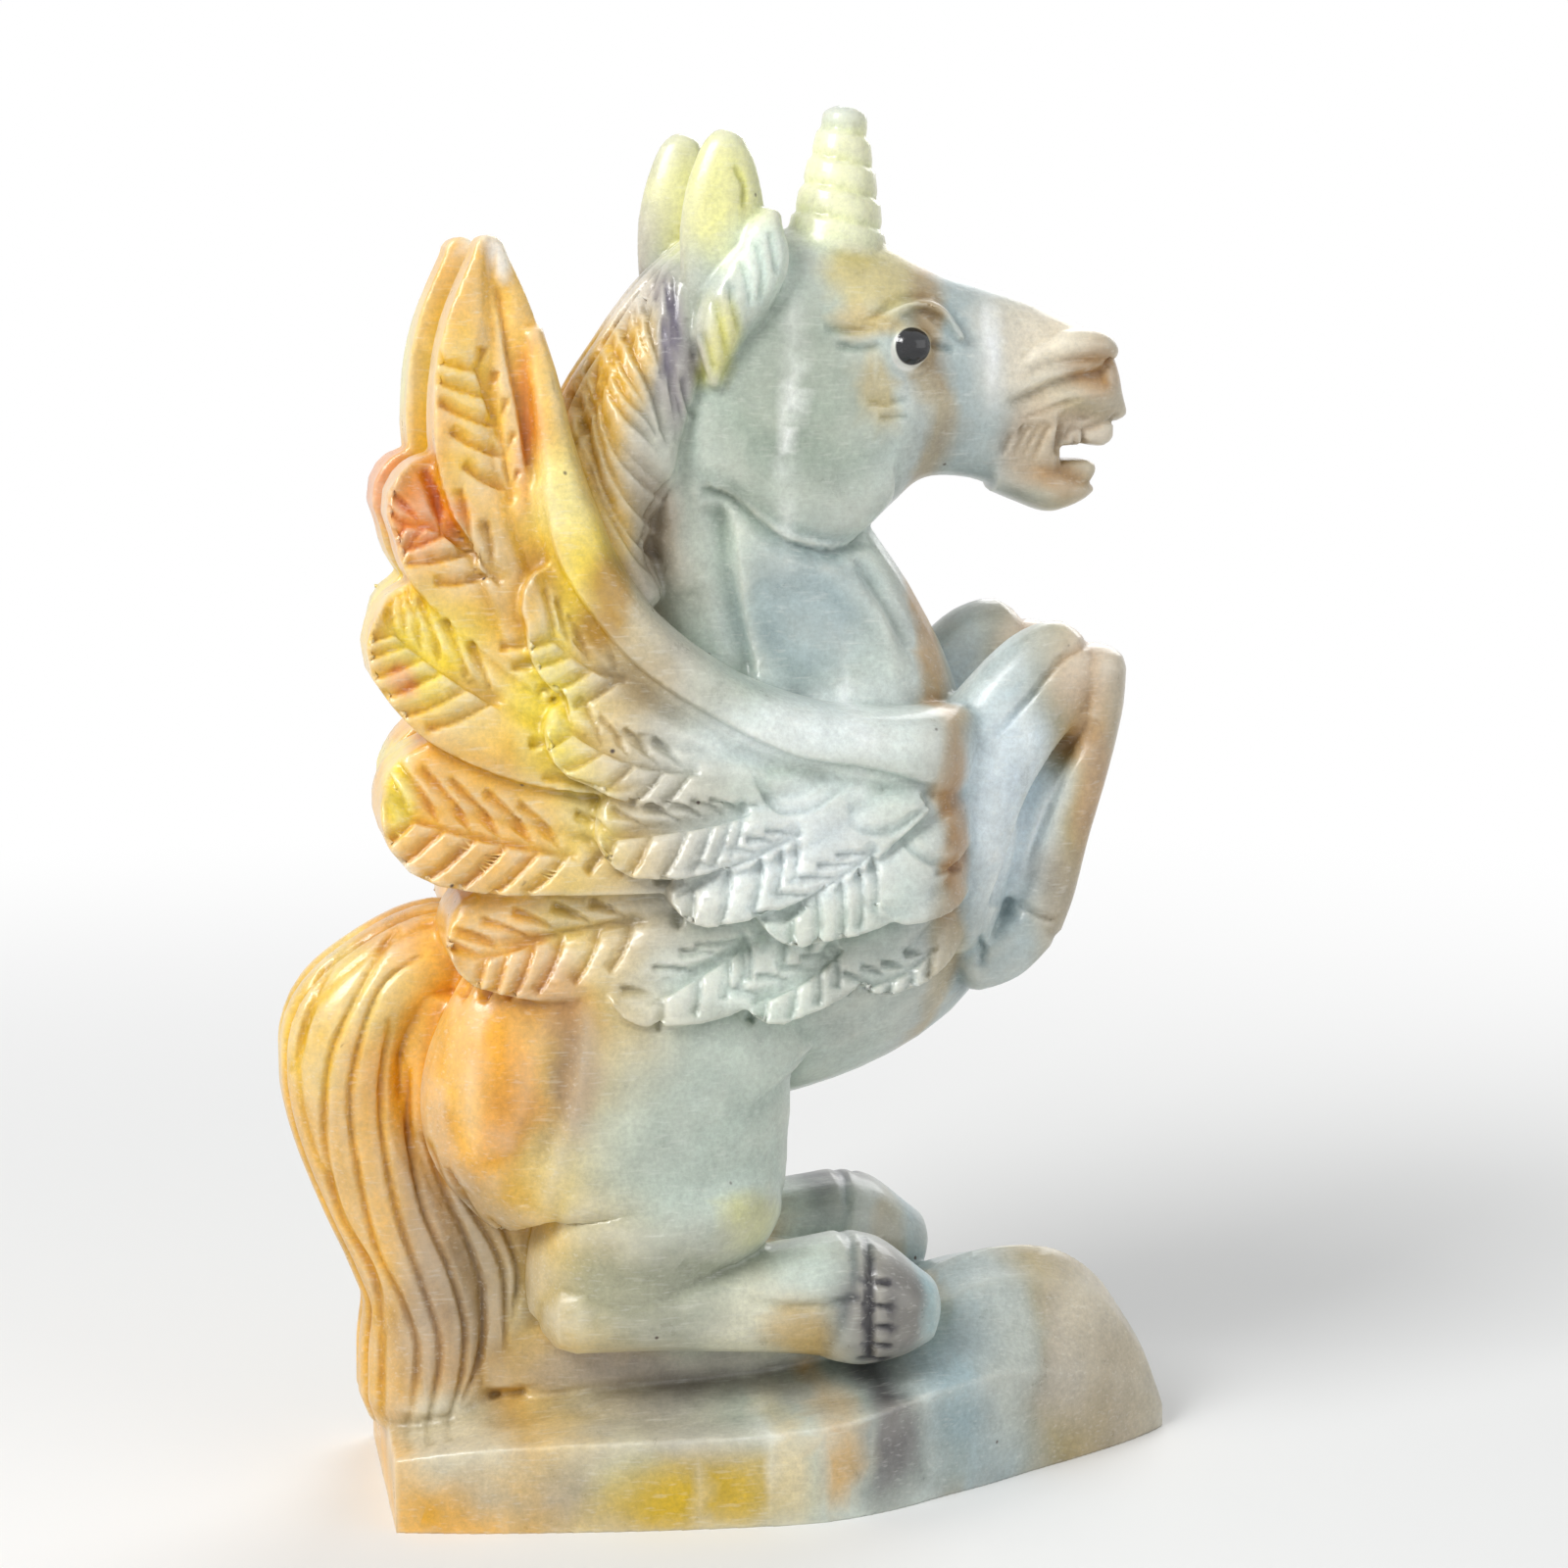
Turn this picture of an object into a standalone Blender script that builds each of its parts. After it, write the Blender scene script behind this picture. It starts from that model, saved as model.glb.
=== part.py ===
"""A winged unicorn carved from one block of banded stone, rearing over a rock base.

The head looks along +X, the side with the finer view is -Y, and the foot rests on Z = 0.
Every length below is in millimetres and is turned into metres when the mesh is made.
"""

import math

import bmesh
import bpy
from mathutils import Vector

MM = 0.001

# Half widths across the figure (Y)
TORSO_HALF = 15.5
NECK_HALF = 12.0
HEAD_HALF = 8.8
MUZZLE_HALF = 5.5
TAIL_HALF = 9.5
THIGH_HALF = 9.0
FORELEG_HALF = 4.6

# Distances of the limbs from the middle plane
THIGH_OUT = 11.0
HIND_FOOT_OUT = 12.5
FORELEG_OUT = 9.0
EAR_OUT = 6.3

# How far the limbs of the far side lie from those of the near side
FAR_FORELEG_BACK = 2.6
FAR_FORELEG_UP = 0.9
FAR_EAR_BACK = 2.6
FAR_FOOT_FORWARD = 5.0
FAR_WING_BACK = 1.2

# Wings
WING_OUT = 19.3
WING_INNER = 5.0
FEATHER_CROWN = 0.6
FEATHER_TILT = 1.6
RIB_DEPTH = 0.7
RIB_HALF = 0.8
FEATHER_RISE = 2.4
ARM_ROLL = 2.6

# Horn
HORN_AHEAD = 6.0
HORN_TOP = 156.6
HORN_FOOT = 140.5
HORN_FOOT_RADIUS = 5.9
HORN_TOP_RADIUS = 2.2
HORN_GROOVES = 5
HORN_GROOVE_DEPTH = 0.8
HORN_SLANT = 0.22

# Hair
TAIL_LOCKS = 18
TAIL_LOCK_DEPTH = 0.9
MANE_LOCKS = 16
MANE_LOCK_DEPTH = 0.9
FORELOCK_LOCKS = 10

# Eye and base
EYE_RADIUS = 2.1
BASE_HALF = 22.5
BASE_EDGE = 10.5
BURIED = 4.0

# Fineness of the carving
CARVE_GRAIN = 0.8
MOST_TRIANGLES = 11600


def spline(rows, steps):
    """Points on a smooth curve through the rows, with this many steps between two rows."""
    padded = [rows[0]] + list(rows) + [rows[-1]]
    points = []
    for i in range(len(rows) - 1):
        for k in range(steps):
            t = k / steps
            point = []
            for a, b, c, d in zip(*padded[i : i + 4]):
                bend = (2 * a - 5 * b + 4 * c - d) * t**2 + (3 * b - a - 3 * c + d) * t**3
                point.append(b + 0.5 * ((c - a) * t + bend))
            points.append(tuple(point))
    points.append(tuple(rows[-1]))
    return points


def loft(stone, rings):
    """Closes a row of equal rings into one shell."""
    rows = [[stone.verts.new(Vector(point) * MM) for point in ring] for ring in rings]
    count = len(rows[0])
    for near, far in zip(rows, rows[1:]):
        for j in range(count):
            k = (j + 1) % count
            stone.faces.new((near[j], near[k], far[k], far[j]))
    stone.faces.new(rows[0])
    stone.faces.new(rows[-1][::-1])


def headings(path):
    """The direction of the path at each point, seen from the side."""
    found = []
    for i in range(len(path)):
        before = path[max(i - 1, 0)]
        after = path[min(i + 1, len(path) - 1)]
        x, z = after[0] - before[0], after[2] - before[2]
        length = math.hypot(x, z)
        found.append((x / length, z / length))
    return found


def squared(value, square):
    """Bends a sine or cosine so that a ring of them goes from round towards a rounded square."""
    return math.copysign(abs(value) ** (2 / square), value)


def tube(stone, rows, across=28, square=2.0, locks=0, lock_depth=0.0, steps=5, dome=0.7):
    """A limb along rows of (x, y, z, half height, half width), with rounded ends.

    With locks its skin is grooved along the path, as carved hair is.
    """
    path = spline(rows, steps)
    ways = headings(path)
    last = len(path) - 1
    plan = [(i, 0.0, 1.0) for i in range(len(path))]
    for turn in (32, 60, 84):
        ahead = dome * math.sin(math.radians(turn))
        share = math.cos(math.radians(turn))
        plan.insert(0, (0, -ahead, share))
        plan.append((last, ahead, share))
    rings = []
    for i, ahead, share in plan:
        x, y, z, high, wide = path[i]
        high, wide = max(high, 0.3), max(wide, 0.3)
        way_x, way_z = ways[i]
        push = ahead * min(high, wide)
        ring = []
        for j in range(across):
            turn = 2 * math.pi * j / across
            groove = lock_depth * (0.5 + 0.5 * math.cos(locks * turn)) if locks else 0.0
            up = (high - groove) * share * squared(math.cos(turn), square)
            out = (wide - groove) * share * squared(math.sin(turn), square)
            ring.append((x + way_x * push - way_z * up, y + out, z + way_z * push + way_x * up))
        rings.append(ring)
    loft(stone, rings)


def slices(stone, rows, across=32, square=2.4, steps=4):
    """A body of upright slices, from rows of (x, lowest z, highest z, half width)."""
    rings = []
    for x, low, high, wide in spline(rows, steps):
        middle, tall = (low + high) / 2, (high - low) / 2
        ring = []
        for j in range(across):
            turn = 2 * math.pi * j / across
            out = wide * squared(math.sin(turn), square)
            ring.append((x, out, middle + tall * squared(math.cos(turn), square)))
        rings.append(ring)
    loft(stone, rings)


def wing_skin(x, z):
    """How far the wing's face lies from the middle plane: it leans in at its top and at both ends."""
    top = 0.115 * max(0.0, z - 80)
    back = 0.075 * max(0.0, -x - 12)
    front = 0.02 * max(0.0, x - 9) ** 2.5
    return WING_OUT - top - back - front


def feather(stone, side, rows, lift=0.0, rib=True, tilt=1.0, far=FAR_WING_BACK):
    """One feather from its root to its round tip, from rows of (x, z, half width).

    Its lower edge stands proud of the next feather and its upper edge is sunk.
    """
    path = spline([(x, 0.0, z, half) for x, z, half in rows], 4)
    ways = headings(path)
    plan = [(i, 0.0, 1.0) for i in range(len(path))]
    for turn in (25, 50, 70, 84):
        plan.append((len(path) - 1, math.sin(math.radians(turn)), math.cos(math.radians(turn))))
    back = far if side > 0 else 0.0
    rings = []
    for i, ahead, share in plan:
        x, _, z, half = path[i]
        way_x, way_z = ways[i]
        sunk = FEATHER_RISE * (1 - i / (len(path) - 1)) ** 1.3
        outer, inner = [], []
        for j in range(15):
            s = j / 7 - 1
            across = s * half * share
            px = x + way_x * ahead * half + way_z * across
            pz = z + way_z * ahead * half - way_x * across
            depth = wing_skin(px, pz) + lift - sunk - tilt * FEATHER_TILT * s * min(1.0, half / 4)
            depth += FEATHER_CROWN * (1 - (abs(s) * share) ** 2.5 - 0.6 * ahead**2)
            if rib:
                depth -= RIB_DEPTH * math.exp(-((across / RIB_HALF) ** 2)) * (1 - ahead)
            outer.append((px - back, side * depth, pz))
            inner.append((px - back, side * WING_INNER, pz))
        rings.append(outer + inner[::-1])
    loft(stone, rings)


def wing(stone, side):
    """The raised wing: long feathers at the back, two rows of short ones and the arm."""
    top = [
        (-29, 98, 4.0), (-31, 107, 5.0), (-34, 117, 6.2), (-34.5, 125, 6.2), (-34.3, 133, 4.9),
        (-34.3, 140.3, 1.8),
    ]
    feather(stone, side, top, 1.0)
    second = [(-26, 96, 4.5), (-32, 102, 5.6), (-37.5, 109, 7.0), (-40.2, 113.2, 5.8)]
    feather(stone, side, second, 0.2, far=0.0)
    feather(stone, side, [(-20, 87, 5.0), (-30, 90, 6.4), (-37, 94.6, 7.8), (-41, 98.2, 7.5)], 0.3, far=-2.2)
    fourth = [(-16, 76, 4.5), (-26, 77.8, 6.2), (-34, 79.6, 7.6), (-39.8, 81, 7.8)]
    feather(stone, side, fourth, 0.4, far=-2.4)
    feather(stone, side, [(-12, 70, 4.0), (-21, 68, 5.8), (-29, 66.6, 6.4), (-35, 67, 5.7)], -0.2, far=-2.0)
    feather(stone, side, [(4, 74, 4.0), (-5, 67.6, 5.6), (-12.5, 63.4, 5.8), (-19, 61.8, 4.6)], 0.2)
    feather(stone, side, [(11, 71, 4.0), (4, 67, 5.4), (-1.5, 63.4, 5.2), (-5, 61.2, 4.2)], 0.6)
    feather(stone, side, [(17, 70, 3.5), (13.5, 67, 4.4), (10, 64.6, 4.2), (7.2, 63.2, 3.6)], 0.6)
    feather(stone, side, [(-14, 91, 4.5), (-20.5, 95, 5.8), (-25.4, 99.6, 6.4), (-27.6, 103, 4.6)], 0.9)
    feather(stone, side, [(-6, 86, 4.5), (-14, 87.2, 5.8), (-21, 88.4, 6.2), (-25, 89, 5.0)], 1.8)
    feather(stone, side, [(2, 83.5, 4.5), (-6, 81.6, 5.8), (-14, 79.8, 6.2), (-19.6, 79, 5.2)], 2.0)
    feather(stone, side, [(10, 84, 4.5), (2, 79.4, 5.8), (-6, 75.4, 5.8), (-12.8, 72.8, 4.4)], 2.2)
    feather(stone, side, [(19, 82, 4.5), (10, 77.4, 6.4), (3, 73.4, 6.6), (-2.8, 70.6, 4.8)], 2.2)
    feather(stone, side, [(19, 76, 3.5), (14, 73.6, 5.0), (9.5, 72, 4.4)], 1.6, rib=False)
    plate = [(12, 79, 5.0), (2, 81, 7.5), (-10, 85, 8.0), (-20, 93, 7.5), (-27, 103, 5.0)]
    feather(stone, side, plate, 0.2, rib=False, tilt=0.0)
    arm = [
        (19.5, 84.8, 5.4), (14, 85.2, 5.5), (8, 85.8, 4.9), (0, 87.4, 4.4), (-8, 90.3, 4.2),
        (-15, 94.6, 4.2), (-20.5, 99.5, 4.2), (-24.6, 105.5, 4.2), (-26.8, 112, 3.8), (-28, 119, 2.8),
        (-28.8, 126, 2.0), (-30, 132, 1.4),
    ]
    back = FAR_WING_BACK if side > 0 else 0.0
    rows = []
    for x, z, half in arm:
        outer = wing_skin(x, z) + ARM_ROLL * min(1.0, half / 4) - 0.4
        rows.append((x - back, side * (outer + WING_INNER) / 2, z, half, (outer - WING_INNER) / 2))
    tube(stone, rows, square=2.6, dome=0.3)


def hind_leg(stone, side):
    """The haunch, the folded leg laid forward along the rock, and the hoof."""
    haunch = [
        (-22, 64, 15.5, 0.82), (-21.6, 56, 20.5, 0.98), (-20.9, 48.5, 22.6, 1.0),
        (-19.4, 43.4, 20.6, 1.0), (-17.6, 39.4, 17.0, 0.97), (-17.0, 36, 14.2, 0.94),
        (-18.8, 32, 12.2, 0.92), (-20.2, 27, 11.8, 0.92), (-20.2, 23.5, 11.4, 0.9),
    ]
    rows = [(x, side * THIGH_OUT, z, half, THIGH_HALF * share) for x, z, half, share in haunch]
    tube(stone, rows, dome=0.3)
    ahead = FAR_FOOT_FORWARD if side > 0 else 0.0
    cannon = [
        (-27, 23.8, 5.0, 0.7), (-18, 23.8, 5.2, 0.78), (-8, 23.4, 5.7, 0.74), (-1, 23.3, 6.4, 0.74),
        (3.4, 23.2, 7.1, 0.8),
    ]
    rows = []
    for x, z, half, share in cannon:
        rows.append((x + ahead * min(1.0, (x + 27) / 20), side * HIND_FOOT_OUT, z, half, THIGH_HALF * share))
    tube(stone, rows, square=2.3, dome=0.8)
    hoof = [(3.6, 23.2, 7.3, 0.84), (7.0, 22.2, 7.2, 0.84), (10.5, 21.4, 5.8, 0.76), (13.2, 21.0, 4.2, 0.6)]
    rows = [(x + ahead, side * HIND_FOOT_OUT, z, half, THIGH_HALF * share) for x, z, half, share in hoof]
    tube(stone, rows, square=2.3, dome=0.5)


def foreleg(stone, side):
    """A foreleg bent at the knee, the stone left in its fold, and the hoof tucked back under the chest."""
    shift = FAR_FORELEG_BACK if side > 0 else 0.0
    rise = FAR_FORELEG_UP if side > 0 else 0.0
    forearm = [
        (12.5, 69, 11.0, 1.75), (16.8, 75.8, 9.2, 1.55), (20.2, 82.8, 7.2, 1.3), (24.4, 88.6, 6.7, 1.12),
        (28, 92.6, 6.2, 1.05), (31, 94.6, 5.4, 0.95),
    ]
    shin = [
        (34.0, 94.2, 3.7, 0.9), (33.6, 89, 3.7, 0.82), (32.2, 82, 3.4, 0.76), (30.4, 75, 3.2, 0.72),
        (28.8, 69, 3.3, 0.76), (27.2, 65.4, 3.6, 0.84),
    ]
    fold = [(30, 85, 3.0, 0.45), (27.4, 77, 4.0, 0.45), (24.6, 68.5, 4.6, 0.5)]
    hoof = [(27.2, 64.6, 3.2, 0.86), (23.4, 61.9, 3.8, 0.94), (19.4, 60.1, 3.2, 0.9)]
    for rows, dome in ((forearm, 0.7), (shin, 0.7), (fold, 0.4), (hoof, 0.5)):
        placed = []
        for x, z, half, share in rows:
            placed.append((x - shift, side * FORELEG_OUT, z + rise, half, FORELEG_HALF * share))
        tube(stone, placed, square=2.2, dome=dome)


def ear(stone, side):
    shift = FAR_EAR_BACK if side > 0 else 0.0
    rows = [
        (-8.1, 134, 4.6, 2.2), (-8.1, 140, 4.9, 2.4), (-8.1, 143.5, 4.8, 2.5), (-8.0, 147.5, 4.1, 2.3),
        (-7.7, 151.2, 2.9, 1.8), (-7.1, 153.0, 1.6, 1.3),
    ]
    rows = [(x - shift, side * EAR_OUT, z, half, deep) for x, z, half, deep in rows]
    tube(stone, rows, square=1.7, dome=0.2)


def head(stone):
    """The skull and cheeks, the upper lip, the jaw, the teeth, and the brows, eyes and nostrils."""
    skull = [
        (-13, 120, 132, 0.34), (-11, 116.6, 136, 0.75), (-8, 113.2, 139.5, 0.92),
        (-4, 110.4, 141.8, 1.0),
        (0, 108.4, 143, 1.02), (4, 107.7, 143, 1.02), (8, 108.6, 142.6, 0.98), (12, 112.0, 141.0, 0.9),
        (15, 114.6, 139.4, 0.84), (18, 115.3, 138.1, 0.78), (22, 114.9, 137, 0.73),
        (26, 113.4, 135.8, 0.63),
        (30.5, 112.0, 134.2, 0.63),
    ]
    cheek = [
        (-11, 114.8, 126, 0.82), (-7.5, 113.6, 128, 0.92), (-4.4, 111.3, 130, 0.95),
        (-1.3, 109.1, 130, 0.96), (3.1, 107.9, 130, 0.96), (6.2, 108.3, 130, 0.94),
        (8.6, 109.8, 128, 0.9), (11.2, 112.4, 126, 0.83),
    ]
    for rows, square in ((skull, 2.4), (cheek, 5)):
        slices(stone, [(x, low, high, HEAD_HALF * share) for x, low, high, share in rows], square=square)
    upper_lip = [
        (24, 116, 136.2, 0.9), (29, 117.6, 134.5, 1.04), (33, 120.4, 132.9, 1.04),
        (35.4, 121.0, 131.7, 0.96), (37.4, 121.3, 130.2, 0.8), (38.4, 121.3, 128.0, 0.66),
        (39.0, 121.4, 125.4, 0.54), (39.7, 121.8, 123.0, 0.4),
    ]
    inside_of_mouth = [(27, 114, 121, 0.8), (31.2, 114, 121, 0.8)]
    jaw = [
        (24, 113.5, 120, 0.76), (27, 112.3, 119, 0.82), (30.4, 111.1, 117.6, 0.84),
        (32.6, 111.4, 115.9, 0.8), (34.6, 112.3, 114.8, 0.68), (36.0, 113.3, 114.1, 0.4),
    ]
    back_tooth = [(31.4, 118.6, 121.6, 0.84), (33.8, 118.7, 121.8, 0.8)]
    front_tooth = [(34.3, 118.9, 122.0, 0.76), (36.6, 118.5, 122.4, 0.7), (37.8, 119.2, 122.4, 0.6)]
    lower_tooth = [(31.4, 114.2, 117.2, 0.72), (34.8, 114.2, 117.1, 0.64), (36.0, 115.6, 116.6, 0.5)]
    for rows, square in (
        (upper_lip, 2.4), (inside_of_mouth, 2.4), (jaw, 2.4), (back_tooth, 5), (front_tooth, 5),
        (lower_tooth, 4),
    ):
        slices(stone, [(x, low, high, MUZZLE_HALF * share) for x, low, high, share in rows], square=square)
    for side in (-1, 1):
        out = side * (0.84 * HEAD_HALF - 0.3)
        tube(stone, [(x, out, 130.2, EYE_RADIUS, EYE_RADIUS) for x in (13.0, 14.0)], dome=0.95)
        brow = [(7, 132.0, 0.5), (10, 133.8, 0.8), (13.3, 134.9, 0.9), (16.4, 133.8, 0.8), (18.8, 131, 0.5)]
        tube(stone, [(x, side * 0.8 * HEAD_HALF, z, half, 1.6 * half) for x, z, half in brow])
        nostril = [
            (25, 126.6, 0.9), (28.6, 128.9, 1.4), (32, 130, 1.8), (35.4, 130, 1.7), (37, 129.2, 1.1),
        ]
        tube(stone, [(x, side * 0.78 * MUZZLE_HALF, z, half, 1.3 * half) for x, z, half in nostril])


def horn(stone):
    """A tapered spike whose slanting grooves wind round it."""
    rings = []
    for i in range(61):
        up = i / 60
        z = HORN_FOOT + up * (HORN_TOP - HORN_FOOT)
        radius = HORN_FOOT_RADIUS + (HORN_TOP_RADIUS - HORN_FOOT_RADIUS) * up**1.1
        if up > 0.93:
            radius *= math.sqrt(max(0.05, 1 - ((up - 0.93) / 0.075) ** 2))
        elif 0.06 < up < 0.9:
            phase = (up * HORN_GROOVES) % 1.0
            radius -= HORN_GROOVE_DEPTH * (math.exp(-((phase / 0.14) ** 2)) + 0.45 * (1 - phase))
        slant = HORN_SLANT * min(1.0, (1 - up) * 6)
        ring = []
        for j in range(32):
            turn = 2 * math.pi * j / 32
            ahead = radius * math.cos(turn)
            ring.append((HORN_AHEAD + up + ahead, radius * math.sin(turn), z - slant * ahead))
        rings.append(ring)
    loft(stone, rings)


def mane(stone):
    """The mane down the back of the neck and the forelock beside each ear, grooved into locks."""
    crest = [
        (-9.4, 139.5, 3.4, 5.6), (-12.2, 134.5, 5.4, 7.4), (-15.4, 128, 6.8, 9.0),
        (-18.6, 121, 7.8, 10.0),
        (-21.0, 114, 6.6, 10.4), (-20.6, 107.5, 4.8, 10.6), (-17.4, 102.5, 3.0, 10.4),
    ]
    rows = [(x, 0.0, z, half, deep) for x, z, half, deep in crest]
    tube(stone, rows, across=96, locks=MANE_LOCKS, lock_depth=MANE_LOCK_DEPTH, square=2.3)
    for side in (-1, 1):
        shift = FAR_EAR_BACK if side > 0 else 0.0
        forelock = [
            (-3.2, 144.2, 1.3, 1.6), (-3.9, 142.2, 2.6, 2.2), (-4.5, 139.3, 3.4, 2.6), (-6.5, 136, 3.7, 2.8),
            (-8.6, 132.6, 3.2, 2.6), (-9.6, 129.2, 2.1, 2.0), (-9.6, 126.2, 0.8, 1.2),
        ]
        rows = [(x - shift, side * (HEAD_HALF - 0.9), z, half, deep) for x, z, half, deep in forelock]
        tube(stone, rows, across=48, locks=FORELOCK_LOCKS, lock_depth=0.5 * MANE_LOCK_DEPTH)


def tail(stone):
    """The tail: it arches out of the haunch and falls to the rock in long S-shaped locks."""
    fall = [
        (-33, 61, 6.0, 0.7), (-40, 62.2, 6.2, 0.8), (-45.8, 59.6, 6.4, 0.9), (-50, 55, 7.4, 0.96),
        (-50.8, 49.5, 7.4, 1.0), (-49.4, 43, 7.4, 1.0), (-46.6, 36.6, 7.8, 1.0), (-43.6, 30, 8.0, 1.0),
        (-41.6, 23.5, 8.0, 0.98), (-41.6, 17, 8.5, 1.0), (-41.8, 11.5, 8.4, 1.04),
    ]
    rows = [(x, 0.0, z, half, TAIL_HALF * share) for x, z, half, share in fall]
    tube(stone, rows, across=108, locks=TAIL_LOCKS, lock_depth=TAIL_LOCK_DEPTH, square=2.3)


def base(stone):
    """The rock: flat sided at the back, with a hump that runs out to a point in front."""
    rows = [
        (-47.3, 0.69, 0.80, 9.5), (-38, 0.79, 0.92, 12.0), (-24, 0.90, 0.98, 13.5),
        (-10, 0.98, 1.0, 14.0),
        (0, 1.0, 1.06, 14.6), (8, 0.92, 1.14, 16.5), (15, 0.79, 1.24, 20.0), (21, 0.68, 1.24, 22.7),
        (27, 0.55, 1.14, 23.6), (33, 0.43, 1.0, 22.9), (38, 0.32, 0.84, 19.6), (41.6, 0.23, 0.66, 14.6),
        (44.4, 0.15, 0.46, 9.6), (46.8, 0.06, 0.26, 3.2),
    ]
    rings = []
    for x, share, edge_share, top in spline(rows, 3):
        half, edge = BASE_HALF * share, BASE_EDGE * edge_share
        across = [(0.72, 0.35), (0.42, 0.8), (0.0, 1.0), (-0.42, 0.8), (-0.72, 0.35)]
        crown = [(x, -out * half, edge + rise * (top - edge)) for out, rise in across]
        rings.append([(x, -half, -BURIED), (x, -half, edge)] + crown + [(x, half, edge), (x, half, -BURIED)])
    loft(stone, rings)


def torso(stone):
    """The trunk, the chest and neck, and the rock that fills the space under the haunches."""
    trunk = [
        (-36, 56, 9.5, 0.7), (-30, 57.5, 14.5, 0.88), (-18, 60.5, 18, 0.98), (-4, 63.5, 19.5, 1.0),
        (6, 68.4, 20.2, 0.98), (11, 76, 19.5, 0.92),
    ]
    tube(stone, [(x, 0.0, z, half, TORSO_HALF * share) for x, z, half, share in trunk], square=2.2, dome=0.3)
    neck = [
        (3.5, 58, 13.5, 1.0), (4.5, 66, 15.6, 1.18), (4.4, 76, 17.2, 1.24), (3.8, 86, 17.0, 1.1),
        (0.8, 95, 16.0, 0.9), (-3.2, 103.4, 14.6, 0.7), (-6.6, 111, 13.4, 0.6),
        (-9.4, 119, 12.6, 0.58), (-10.4, 127, 10.6, 0.56), (-8.6, 134, 8.4, 0.5),
    ]
    tube(stone, [(x, 0.0, z, half, NECK_HALF * share) for x, z, half, share in neck], square=2.2)
    seat = [(-32, 0.0, 16, 9, 9.0), (-20, 0.0, 18, 9, 10.5), (-4, 0.0, 18, 8, 10.5), (8, 0.0, 17, 6, 9.0)]
    tube(stone, seat, square=3, dome=0.2)
    web = [
        (-38, 0.0, 58, 8, 8.2), (-39, 0.0, 50, 8, 9.0), (-38, 0.0, 42, 9, 9.0), (-34, 0.0, 32, 11, 8.8),
        (-31, 0.0, 24, 12, 8.8), (-30, 0.0, 14, 12, 9.2),
    ]
    tube(stone, web, square=2.6, dome=0.2)


def made_object(name, mesh, collection):
    made = bpy.data.objects.new(name, mesh)
    collection.objects.link(made)
    return made


def evaluated_mesh(thing):
    graph = bpy.context.evaluated_depsgraph_get()
    return bpy.data.meshes.new_from_object(thing.evaluated_get(graph))


def outer_skin(mesh):
    """Fills the hollows that the overlapping shapes leave sealed inside the stone."""
    skin = bmesh.new()
    skin.from_mesh(mesh)
    left = set(skin.verts)
    islands = []
    while left:
        island, front = set(), [left.pop()]
        while front:
            vert = front.pop()
            island.add(vert)
            for edge in vert.link_edges:
                other = edge.other_vert(vert)
                if other in left:
                    left.remove(other)
                    front.append(other)
        islands.append(island)
    islands.sort(key=len)
    bmesh.ops.delete(skin, geom=[vert for island in islands[:-1] for vert in island], context="VERTS")
    skin.to_mesh(mesh)
    skin.free()


def stone_material():
    stone = bpy.data.materials.new("banded stone")
    stone.use_nodes = True
    shader = stone.node_tree.nodes["Principled BSDF"]
    shader.inputs["Base Color"].default_value = (0.62, 0.56, 0.40, 1.0)
    shader.inputs["Roughness"].default_value = 0.3
    return stone


def main():
    for thing in list(bpy.data.objects):
        bpy.data.objects.remove(thing)
    scene = bpy.context.scene
    scene.unit_settings.system = "METRIC"
    figure = bpy.data.collections.new("winged unicorn")
    helpers = bpy.data.collections.new("helpers")
    scene.collection.children.link(figure)
    scene.collection.children.link(helpers)

    stone = bmesh.new()
    torso(stone)
    head(stone)
    horn(stone)
    mane(stone)
    tail(stone)
    base(stone)
    for side in (-1, 1):
        hind_leg(stone, side)
        foreleg(stone, side)
        ear(stone, side)
        wing(stone, side)
    bmesh.ops.recalc_face_normals(stone, faces=stone.faces)
    rough_mesh = bpy.data.meshes.new("roughed out")
    stone.to_mesh(rough_mesh)
    stone.free()

    rough = made_object("roughed_out", rough_mesh, helpers)
    rough.hide_render = True
    rough.display_type = "WIRE"
    remesh = rough.modifiers.new("one body", "REMESH")
    remesh.mode = "VOXEL"
    remesh.voxel_size = CARVE_GRAIN * MM
    smooth = rough.modifiers.new("worn edges", "SMOOTH")
    smooth.factor = 0.5
    smooth.iterations = 2
    carved = evaluated_mesh(rough)
    carved.name = "winged unicorn"
    outer_skin(carved)
    bpy.data.objects.remove(rough)

    floor_mesh = bpy.data.meshes.new("under the foot")
    under = bmesh.new()
    bmesh.ops.create_cube(under, size=1.0)
    under.to_mesh(floor_mesh)
    under.free()
    floor = made_object("under_the_foot", floor_mesh, helpers)
    floor.scale = (0.2, 0.2, 0.02)
    floor.location = (0.0, 0.0, -0.01)
    floor.hide_render = True
    floor.display_type = "WIRE"

    unicorn = made_object("winged_unicorn", carved, figure)
    unicorn.data.materials.clear()
    unicorn.data.materials.append(stone_material())
    fewer = unicorn.modifiers.new("facets", "DECIMATE")
    fewer.ratio = MOST_TRIANGLES / sum(len(face.vertices) - 2 for face in carved.polygons)
    flat = unicorn.modifiers.new("flat foot", "BOOLEAN")
    flat.operation = "DIFFERENCE"
    flat.solver = "EXACT"
    flat.object = floor


main()
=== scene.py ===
"""The looks of a winged unicorn carved from one block of banded stone, rearing over a rock base.

The head looks along +X, the side with the finer view is -Y, and the foot rests on Z = 0. The block is
cut here again at a finer grain than its solid, from the same forms, and then gets the chisel work.
Every length below is in millimetres and is turned into metres when the mesh is made.
"""

import math

import bmesh
import bpy
import numpy as np
from mathutils import Matrix, Vector, noise


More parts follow.
